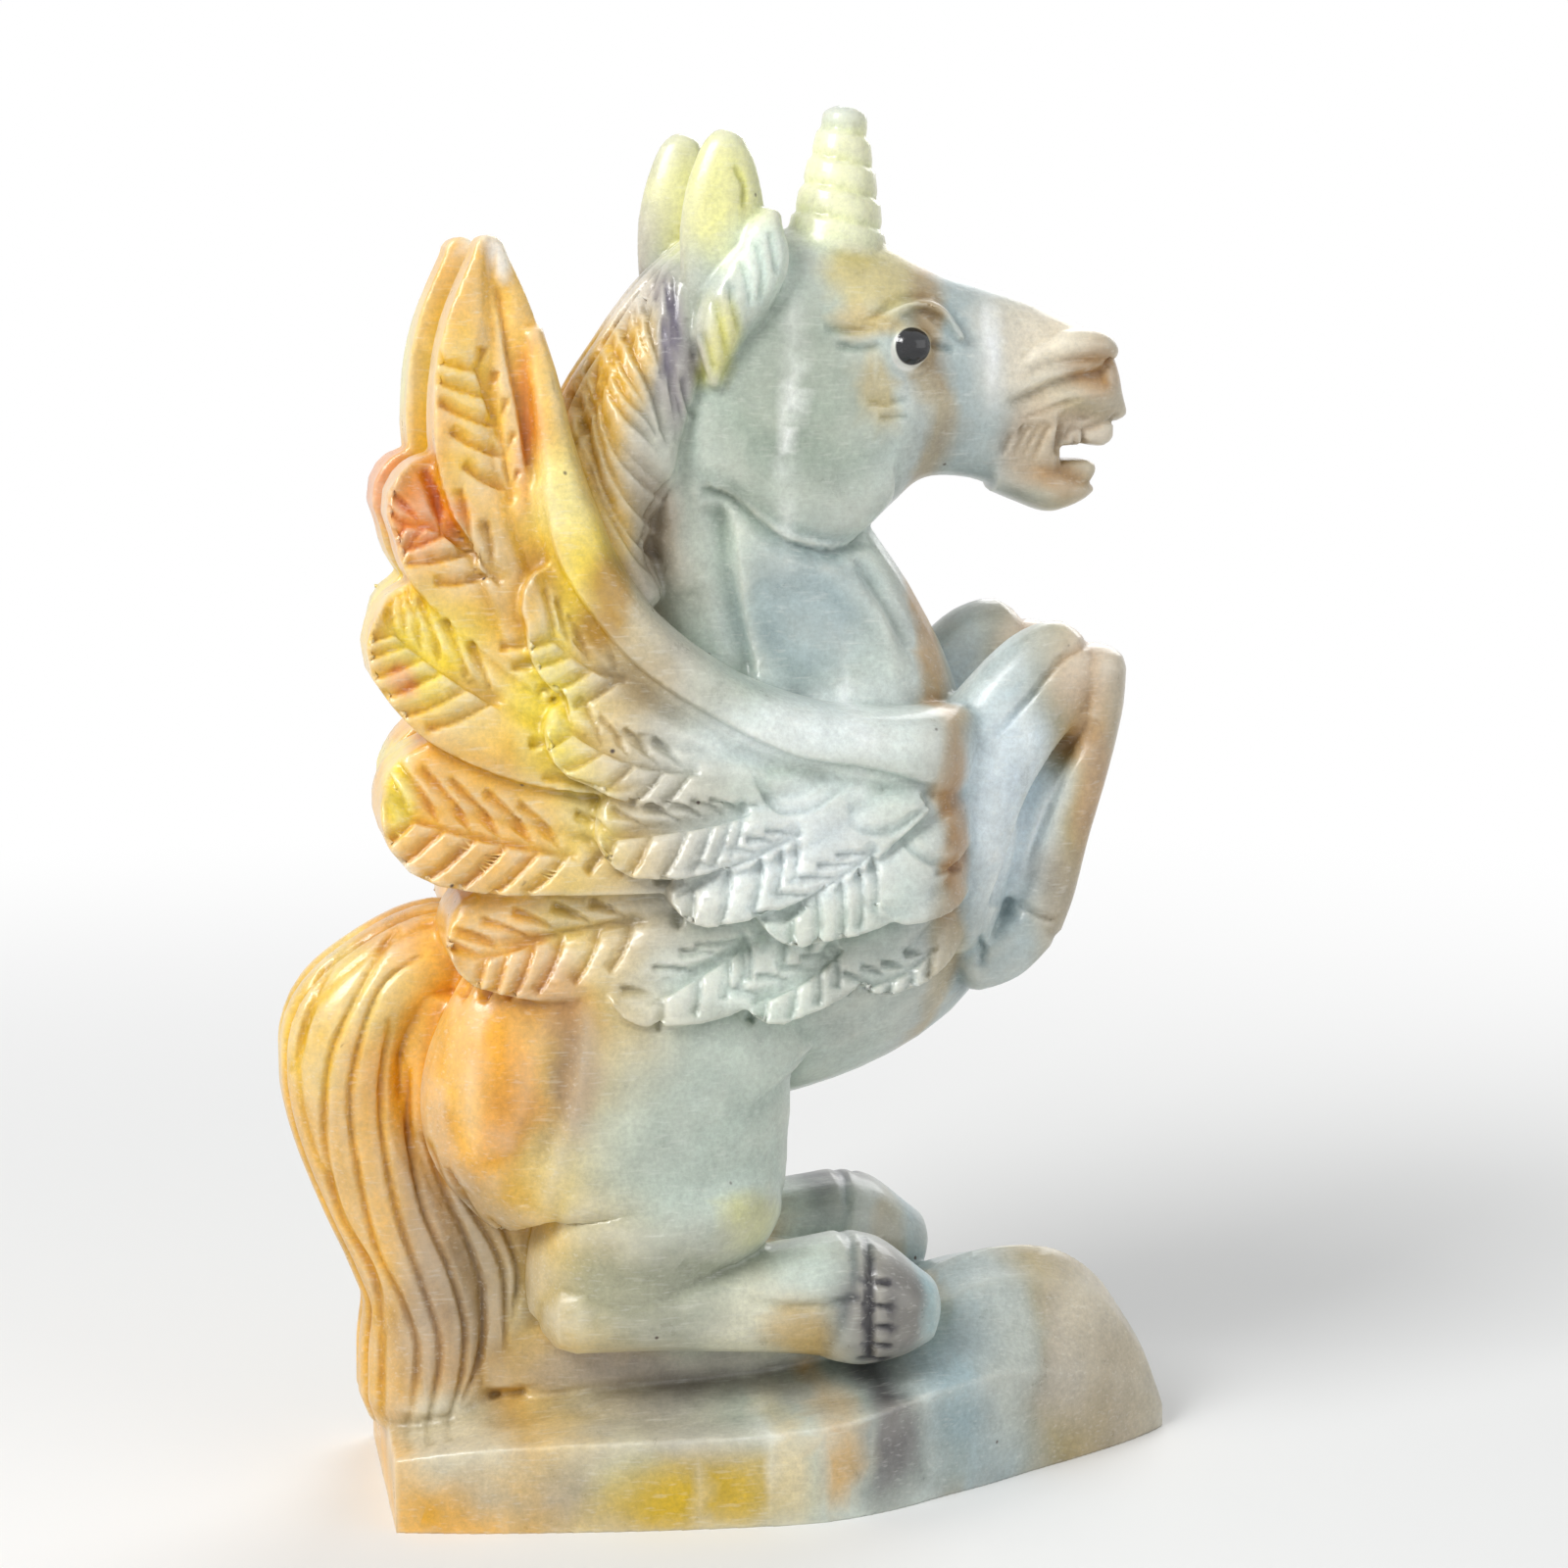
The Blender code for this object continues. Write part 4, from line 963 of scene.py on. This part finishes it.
# Bands of the block, along X in millimetres
BANDS = [
    (-60, "#D8A32F"), (-50, "#DFA934"), (-42, "#E3A71B"), (-34, "#E2AF37"), (-27, "#DDBE64"),
    (-21, "#CDB682"), (-16, "#B9B5A4"), (-9, "#BAC6BA"), (2, "#C3CEC4"), (9, "#C0CCC4"),
    (12.6, "#B8C0BB"), (14, "#AFA58A"), (16, "#ADA184"), (17.4, "#AAB7B6"), (24, "#A9B8B9"),
    (31, "#A99766"), (38, "#B4A68C"), (47, "#B5AD97"),
]

# How far the bands and stains waver, from which seed, over which lengths, and how much of it veins share
WAVER = 3.0
WAVER_SEED = 11
WAVER_LONG = 14
WAVER_SHORT = 5
VEIN_WAVER = 0.4

# Shares of its reach at which a stain starts to fade and at which stain and vein end, and the length in
# millimetres over which a vein is broken
STAIN_CORE = 0.4
STAIN_SPREAD = 1.15
VEIN_SPREAD = 1.2
VEIN_BREAKS = 3.5

# Stains in the block: middle x and z, reach in x and z, colour, and how strong. Where a stain lies on one
# side only, its y and its reach in y follow. The others go through the block from side to side. The pale
# strip down the haunch at x -39 is a painted highlight.
THROUGH = (0, 60)
STAINS = [
    (-47, 61, 9, 8, "#E8C86B", 0.9), (-54, 54, 5, 9, "#E3B938", 0.8), (-44, 66, 5, 4, "#D59239", 0.6),
    (-50, 42, 6, 9, "#DDA83A", 0.8), (-41, 30, 7, 20, "#9F815C", 0.8), (-36, 24, 6, 18, "#8F774F", 0.75),
    (-48, 12, 5, 10, "#DDA51B", 0.8), (-44.5, 22, 6, 12, "#AC8E68", 0.75),
    (-14, 44, 18, 20, "#B7C5B9", 0.9), (-37, 51, 7.4, 13, "#E8A222", 0.95),
    (-30, 61, 7, 7, "#C98D37", 0.8), (-33.5, 48.5, 4.2, 7, "#D08E2C", 0.7),
    # Painted highlight: the pale strip at x -39 down the haunch
    (-39, 50, 2.6, 9, "#F2BC50", 0.7), (-27.5, 53, 3.8, 11, "#A98C6C", 0.85),
    (-19, 27, 16, 9, "#9A9E88", 0.85), (-8, 33, 5, 4, "#C3BD60", 0.6), (-31, 22, 3.5, 5, "#B8A676", 0.8),
    (-32, 127, 7, 17, "#F6C45E", 0.95), (-30.4, 123, 2.2, 11, "#D98A24", 0.75),
    (-37.5, 125, 3.6, 9, "#F0C20E", 0.9), (-33.9, 141.5, 1.7, 3.0, "#F7F0E4", 0.9),
    (-41, 128, 6, 12, "#DEDA84", 0.9, 20, 20), (-41.5, 114, 6, 6, "#DE8000", 0.95),
    (-46, 112, 4, 7, "#C65F0D", 0.8, 22, 16), (-38, 119.5, 4, 4.5, "#F0BC00", 0.9),
    (-35, 106, 4, 8, "#C9A45E", 0.8), (-43, 99, 7.5, 9, "#F0D43A", 0.95),
    (-46.3, 95.6, 2.0, 2.2, "#D98400", 0.9), (-36, 93, 7, 6, "#EBCB70", 0.85),
    (-38, 79, 8, 6, "#E2A82E", 0.9), (-45.6, 84, 2.4, 5.5, "#EBD43E", 0.9),
    (-45.5, 76, 2.6, 2.6, "#F6EEDD", 0.9), (-34, 66, 7, 6, "#EEB95E", 0.95),
    (-29, 92, 6.5, 9, "#EAD548", 0.95), (-25, 82, 5, 6, "#D9C56E", 0.8),
    (-25.5, 109, 5, 13, "#EACD31", 0.95), (-22.6, 102, 3.8, 8, "#A87C00", 0.95),
    (-27.6, 116, 3.6, 7, "#F1E396", 0.75), (-18.6, 94.5, 3.4, 5, "#AE996F", 0.85),
    (-2, 89, 16, 5.0, "#E3EBE9", 0.9), (-4, 76, 16, 9, "#DDE5E6", 0.85), (-9, 62, 13, 6, "#D3DED6", 0.85),
    (-21, 127, 4.5, 10, "#DDAD05", 0.9), (-22.5, 116, 3.4, 9, "#DDB654", 0.8),
    (-19, 137, 4, 4, "#D2C9BE", 0.75), (-15, 131.5, 2.2, 9, "#676070", 0.95),
    (-12.5, 125.5, 2.4, 6, "#8F878C", 0.8), (-16.5, 112, 4, 9, "#A39480", 0.8),
    (-8, 147, 7, 9, "#E2E08E", 0.95), (7, 149, 9, 9, "#EEF0BE", 0.95), (-4, 138.5, 5, 7, "#DDECE0", 0.9),
    (-9.5, 130.5, 2.6, 6, "#DDD76F", 0.85), (0, 124, 10, 16, "#9AA797", 0.9),
    (9, 137.5, 7, 5.5, "#CDB858", 0.8), (7.5, 132.6, 6, 1.5, "#D0AC44", 0.6),
    (8.4, 126.4, 2.6, 4.6, "#BFA558", 0.7), (16.3, 134, 2.6, 8, "#A48B60", 0.85),
    (16, 119, 3, 9, "#A9A08C", 0.6), (20.8, 126, 3.6, 14, "#A6B4B4", 0.9),
    (29, 129, 8, 8, "#E9DEC8", 0.85), (28, 118, 6, 7, "#BEA88C", 0.75),
    (31, 113.2, 5, 2.6, "#A67A3E", 0.75), (35.5, 127, 4, 4, "#A97419", 0.7),
    (34, 118.6, 4.4, 3.0, "#C9B7A0", 0.8), (0, 101, 10, 11, "#9AABAE", 0.85),
    (14.6, 98, 1.8, 10, "#A97A2B", 0.75), (15.2, 79, 2.2, 15, "#9C6E26", 0.95),
    (22.5, 80, 7.5, 16, "#DDEAF0", 0.95), (33, 95, 6, 6, "#CFB89C", 0.9),
    (33.5, 82, 4, 13, "#B99468", 0.85), (29, 68, 5, 7, "#A89A84", 0.7), (6, 58, 9, 10, "#A0A7A0", 0.6),
    (-7, 22, 6, 7, "#DCD8BE", 0.85), (-2.0, 22, 4.4, 6, "#BE9A46", 0.85), (-20, 7, 17, 9, "#BBB7A6", 0.9),
    (-46, 1.6, 4.6, 3.2, "#E8AC14", 0.95), (-40, 9, 9, 5.5, "#CDC4A8", 0.95),
    (-38, 3, 5, 4, "#B5AD96", 0.8), (-30, 4, 5.5, 5, "#B3A58C", 0.85), (-24, 16, 9, 4, "#A59A92", 0.75),
    (-22, 6, 6, 5, "#C4BE90", 0.8), (-11, 14.5, 16, 3.4, "#A09891", 0.7),
    (-15, 3.4, 14, 6, "#CBA808", 1.0), (-5, 7, 3.4, 7, "#DCCDA4", 0.9),
    (1, 7.5, 3.4, 8.5, "#D3A452", 0.85), (7.2, 8, 4.4, 10, "#645F60", 0.95),
    (15.5, 10, 5.2, 11, "#9AB1B6", 0.95), (24, 12, 4.6, 11, "#BBC0B6", 0.85),
    (32, 11, 5.4, 9, "#B9B1A3", 0.8), (38, 17, 8, 7, "#CCC2AC", 0.8),
    (7.2, 23, 7.5, 12, "#2C2931", 1.0, -17, 16), (15.0, 23, 3.6, 8, "#86A9AF", 1.0, -17, 14),
    (7, 28, 8, 7, "#474B55", 0.95, 17, 14), (16, 26, 5, 6, "#86A6AC", 0.95, 17, 14),
]

# White veins of clear crystal, in the same way
VEINS = [
    (-1.2, 122, 1.2, 17, "#F4F8F2", 1.0), (22.6, 130, 1.4, 7.5, "#F2F6F6", 1.0),
    (4.5, 88, 1.0, 9, "#F6F8F8", 0.6), (-6.5, 8, 0.8, 8, "#F4F4EC", 0.6), (-14, 5, 0.7, 7, "#F0F0E4", 0.5),
    (21, 74, 0.8, 12, "#F3F7F3", 0.6), (24.6, 86, 0.9, 9, "#F3F7F3", 0.5),
]

# Sizes inside the stone: how the clouds waver, the clouds, the crystal grain, drawn as coarse as it needs
# to show, and the specks, with the share of places that have none
SWIRL_SIZE = 16
SWIRL_SHIFT = 3.0
CLOUD_SIZE = 5
GRAIN_SIZE = 0.6
SPECK_SPACING = 4.5
SPECKS_LEFT_OUT = 0.8

# File marks run two ways, each a turn in radians with how white it is. They and the sanding lines are long
# for their width
FILE_TURNS = ((0.5, 0.15), (-0.35, 0.12))
FILE_STRETCH = (0.35, 2.4, 2.4)
SANDING_STRETCH = (0.35, 2.2, 2.2)

# Colour of the painted highlight on edges that stand out
EDGE_HIGHLIGHT = "#F3EFE0"
FILED_WHITE = "#F2F2EA"
SPECK_BROWN = "#4A3A30"
# Pale crescent by the eye: bare stone at the lacquer's rim, widened below and behind as a painted highlight
EYE_RIM_AND_GLINT = "#DCDBD2"
LACQUER_BLACK = "#17181C"
CALCITE_IOR = 1.54

# The sockets of a range of values that is turned into another range
RANGE = ("From Min", "From Max", "To Min", "To Max")


def banded_stone():
    """Banded calcite, filed, sanded and waxed: milky and a little clear at its edges, with a soft gloss."""
    stone = bpy.data.materials.new("banded calcite")
    stone.use_nodes = True
    tree = stone.node_tree
    shader = tree.nodes["Principled BSDF"]
    place = add(tree, "TexCoord").outputs["Object"]
    place = add(tree, "VectorMath", {0: place}, {1: (1000, 1000, 1000)}, operation="MULTIPLY").outputs[0]

    # The bands, stains, veins and a painted highlight on the haunch are stored on the stone. The clouds in it
    # waver by a millimetre or two
    colour = add(tree, "Attribute", attribute_name="block").outputs["Color"]
    sizes = {"Scale": 1 / SWIRL_SIZE, "Detail": 4.0, "Roughness": 0.6}
    swirl = add(tree, "TexNoise", {"Vector": place}, sizes).outputs["Color"]
    shift = add(tree, "VectorMath", {0: swirl}, {1: (0.5, 0.5, 0.5)}, operation="SUBTRACT")
    slight = add(tree, "VectorMath", {0: shift.outputs[0]}, {"Scale": SWIRL_SHIFT}, operation="SCALE")
    slightly = add(tree, "VectorMath", {0: place, 1: slight.outputs[0]}, operation="ADD").outputs[0]

    # Milky clouds a few millimetres across, a crystal grain under a millimetre, the short white marks that
    # a file leaves, and sparse dark specks
    sizes = {"Scale": 1 / CLOUD_SIZE, "Detail": 5.0, "Roughness": 0.65}
    clouds = add(tree, "TexNoise", {"Vector": slightly}, sizes).outputs["Fac"]
    cloudy = add(tree, "MapRange", {"Value": clouds}, zip(RANGE, (0.3, 0.72, 0.82, 1.15)))
    sizes = {"Scale": 1 / GRAIN_SIZE, "Detail": 3.0, "Roughness": 0.75}
    grain = add(tree, "TexNoise", {"Vector": place}, sizes).outputs["Fac"]
    grainy = add(tree, "MapRange", {"Value": grain}, zip(RANGE, (0.3, 0.7, 0.87, 1.13)))
    light = add(tree, "Math", {0: cloudy.outputs[0], 1: grainy.outputs[0]}, operation="MULTIPLY").outputs[0]
    hollow = add(tree, "Attribute", attribute_name="hollow").outputs["Fac"]
    edge = add(tree, "Attribute", attribute_name="edge").outputs["Fac"]

    # Painted shade: hollows are darkened and their colour deepened. Painted highlight: edges that stand out
    # are mixed towards a pale colour
    shade = add(tree, "MapRange", {"Value": hollow}, zip(RANGE, (0.05, 1.0, 1.0, 0.72)))
    light = add(tree, "Math", {0: light, 1: shade.outputs[0]}, operation="MULTIPLY").outputs[0]
    depth = add(tree, "MapRange", {"Value": hollow}, zip(RANGE, (0.05, 1.0, 1.0, 1.6)))
    colour = add(tree, "Gamma", {0: colour, 1: depth.outputs[0]}).outputs[0]
    lit = add(tree, "VectorMath", {0: colour, "Scale": light}, operation="SCALE").outputs[0]
    rim = add(tree, "Math", {0: edge}, {1: 0.4}, operation="MULTIPLY").outputs[0]
    layers = [(rim, EDGE_HIGHLIGHT)]
    for turn, white in FILE_TURNS:
        drawn = add(tree, "Mapping", {"Vector": place}, {"Rotation": (0.0, turn, 0.2), "Scale": FILE_STRETCH})
        sizes = {"Scale": 1.0, "Detail": 1.0, "Roughness": 0.5}
        filed = add(tree, "TexNoise", {"Vector": drawn.outputs[0]}, sizes).outputs["Fac"]
        mark = add(tree, "MapRange", {"Value": filed}, zip(RANGE, (0.62, 0.74, 0.0, white)))
        layers.append((mark.outputs[0], FILED_WHITE))
    cells = add(tree, "TexVoronoi", {"Vector": slightly}, {"Scale": 1 / SPECK_SPACING})
    speck = add(tree, "MapRange", {"Value": cells.outputs["Distance"]}, zip(RANGE, (0.03, 0.07, 1.0, 0.0)))
    chosen = add(tree, "SeparateColor", {0: cells.outputs["Color"]}).outputs[0]
    few = add(tree, "Math", {0: chosen}, {1: SPECKS_LEFT_OUT}, operation="GREATER_THAN").outputs[0]
    dot = add(tree, "Math", {0: speck.outputs[0], 1: few}, operation="MULTIPLY").outputs[0]
    layers.append((dot, SPECK_BROWN))

    # Black lacquer on the eyeball of each side, with a pale crescent below and behind it: bare pale stone at
    # the lacquer's rim, shifted so that it is widest there as a painted highlight
    parts = add(tree, "SeparateXYZ", {0: place})
    out = add(tree, "Math", {0: parts.outputs["Y"]}, operation="ABSOLUTE").outputs[0]
    either = add(tree, "CombineXYZ", {0: parts.outputs["X"], 1: out, 2: parts.outputs["Z"]}).outputs[0]
    eye_place = {"Location": EYE_PLACE, "Scale": EYE_REACH}
    eye = add(tree, "Mapping", {"Vector": either}, eye_place, vector_type="TEXTURE").outputs[0]
    off = add(tree, "VectorMath", {0: eye}, operation="LENGTH").outputs["Value"]
    lower = add(tree, "VectorMath", {0: eye}, {1: EYE_RIM_GLINT_SHIFT}, operation="ADD").outputs[0]
    shown = add(tree, "VectorMath", {0: lower}, operation="LENGTH").outputs["Value"]
    white = add(tree, "MapRange", {"Value": shown}, zip(RANGE, (1.0, 1.12, 0.75, 0.0))).outputs[0]
    painted = add(tree, "MapRange", {"Value": off}, zip(RANGE, (0.95, 1.03, 1.0, 0.0))).outputs[0]
    layers += [(white, EYE_RIM_AND_GLINT), (painted, LACQUER_BLACK)]

    # Each of these lies over the last
    colour = lit
    for share, shown_colour in layers:
        over = {7: linear(shown_colour)}
        colour = add(tree, "Mix", {"Factor": share, 6: colour}, over, data_type="RGBA").outputs[2]
    tree.links.new(colour, shader.inputs["Base Color"])

    # Waxed faces shine, the chisel lines stay duller, and the lacquer is like glass
    dull = add(tree, "MapRange", {"Value": hollow}, zip(RANGE, (0.0, 0.8, 0.26, 0.5)))
    patch = add(tree, "MapRange", {"Value": clouds}, zip(RANGE, (0.3, 0.7, -0.06, 0.08)))
    rough = add(tree, "Math", {0: dull.outputs[0], 1: patch.outputs[0]}, operation="ADD").outputs[0]
    unpainted = add(tree, "Math", {1: painted}, {0: 1.0}, operation="SUBTRACT").outputs[0]
    rough = add(tree, "Math", {0: rough, 1: unpainted}, operation="MULTIPLY").outputs[0]
    rough = add(tree, "Math", {0: rough}, {1: 0.06}, operation="ADD").outputs[0]
    tree.links.new(rough, shader.inputs["Roughness"])

    # Fine sanding lines and the grain that the wax doesn't fill
    turned = {"Rotation": (0.0, 0.5, 0.3), "Scale": SANDING_STRETCH}
    long_way = add(tree, "Mapping", {"Vector": place}, turned).outputs[0]
    sizes = {"Scale": 1.6, "Detail": 2.0, "Roughness": 0.6}
    sanding = add(tree, "TexNoise", {"Vector": long_way}, sizes).outputs["Fac"]
    height = add(tree, "Math", {0: sanding, 1: grain}, operation="ADD").outputs[0]
    bump = add(tree, "Bump", {"Height": height}, {"Strength": 0.22, "Distance": 0.0001})
    tree.links.new(bump.outputs[0], shader.inputs["Normal"])

    # A little light goes a millimetre or two into the stone, and the wax lies on it as a thin coat
    for name, value in (
        ("IOR", CALCITE_IOR), ("Subsurface Weight", 0.18), ("Subsurface Radius", (1.0, 0.85, 0.6)),
        ("Subsurface Scale", 1.6 * MM), ("Coat Weight", 0.25), ("Coat Roughness", 0.12),
    ):
        shader.inputs[name].default_value = value
    return stone


# The studio, in metres: a floor that fades into white round the stone, and lamps at one distance
FLOOR_RADIUS = 3.0
FLOOR_FADE = (0.09, 0.45)
FLOOR_COLOUR = "#EDEDEC"
ROOM_COLOUR = "#F4F6F8"
ROOM_STRENGTH = 0.36
LAMP_DISTANCE = 0.6
WHITE = (1, 1, 1, 1)


def seen_straight(tree):
    """1 where the camera sees the background, also in a gloss or through the stone, and 0 for its light."""
    path = add(tree, "LightPath")
    seen = path.outputs["Is Camera Ray"]
    for other in (path.outputs["Is Glossy Ray"], path.outputs["Is Transmission Ray"]):
        seen = add(tree, "Math", {0: seen, 1: other}, operation="MAXIMUM").outputs[0]
    return seen


def studio():
    """A pale floor that fades into white, soft lamps and the photo's viewpoint."""
    scene = bpy.context.scene
    scene.view_settings.view_transform = "Standard"

    floor_mesh = bpy.data.meshes.new("floor")
    floor_form = bmesh.new()
    bmesh.ops.create_circle(floor_form, cap_ends=True, segments=64, radius=FLOOR_RADIUS)
    floor_form.to_mesh(floor_mesh)
    floor_form.free()
    floor = bpy.data.objects.new("floor", floor_mesh)
    scene.collection.objects.link(floor)
    paper = bpy.data.materials.new("matt paper")
    paper.use_nodes = True
    tree = paper.node_tree
    plain = tree.nodes["Principled BSDF"]
    plain.inputs["Base Color"].default_value = linear(FLOOR_COLOUR)
    plain.inputs["Roughness"].default_value = 0.9
    white = add(tree, "Emission", inputs={"Color": WHITE, "Strength": 1.0})
    place = add(tree, "TexCoord").outputs["Object"]
    far = add(tree, "VectorMath", {0: place}, operation="LENGTH").outputs["Value"]
    fade = add(tree, "MapRange", {"Value": far}, zip(RANGE, FLOOR_FADE), interpolation_type="SMOOTHSTEP")
    share = add(tree, "Math", {0: fade.outputs[0], 1: seen_straight(tree)}, operation="MULTIPLY").outputs[0]
    both = add(tree, "MixShader", {0: share, 1: plain.outputs[0], 2: white.outputs[0]})
    tree.links.new(both.outputs[0], tree.nodes["Material Output"].inputs["Surface"])
    floor_mesh.materials.append(paper)

    world = bpy.data.worlds.new("white room")
    world.use_nodes = True
    tree = world.node_tree
    room = tree.nodes["Background"]
    room.inputs["Color"].default_value = linear(ROOM_COLOUR)
    room.inputs["Strength"].default_value = ROOM_STRENGTH
    white = add(tree, "Background", inputs={"Color": WHITE, "Strength": 1.0})
    both = add(tree, "MixShader", {0: seen_straight(tree), 1: room.outputs[0], 2: white.outputs[0]})
    tree.links.new(both.outputs[0], tree.nodes["World Output"].inputs["Surface"])
    scene.world = world

    around, pitch = math.radians(CAMERA_AROUND), math.radians(CAMERA_PITCH)
    back = Vector((math.sin(around) * math.cos(pitch), -math.cos(around) * math.cos(pitch), math.sin(pitch)))
    right = Vector((math.cos(around), math.sin(around), 0))
    up = back.cross(right)
    middle = Vector((0, 0, CAMERA_AIM)) * MM
    for name, way, strength, size in LAMPS:
        lamp = bpy.data.lights.new(name, "AREA")
        lamp.energy = strength
        lamp.size = size
        lamp_object = bpy.data.objects.new(name, lamp)
        scene.collection.objects.link(lamp_object)
        towards = (right * way[0] + up * way[1] + back * way[2]).normalized()
        lamp_object.location = middle + towards * LAMP_DISTANCE
        lamp_object.rotation_euler = towards.to_track_quat("Z", "Y").to_euler()

    lens = bpy.data.cameras.new("camera")
    lens.lens = CAMERA_LENS
    lens.clip_start = 0.01
    camera = bpy.data.objects.new("camera", lens)
    scene.collection.objects.link(camera)
    turn = Matrix((right, up, back)).transposed().to_4x4()
    turn.translation = middle + back * CAMERA_DISTANCE * MM
    camera.matrix_world = turn
    scene.camera = camera


def main():
    """Builds the carved stone, hands it to the frame in place of its solid, and sets up the studio."""
    mesh = carved_unicorn()
    mesh.name = "carved_stone"
    mesh.materials.clear()
    mesh.materials.append(banded_stone())
    unicorn = bpy.data.objects.new("carved_stone", mesh)
    bpy.context.scene.collection.objects.link(unicorn)
    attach(unicorn, "root")
    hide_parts("winged_unicorn")
    studio()


main()
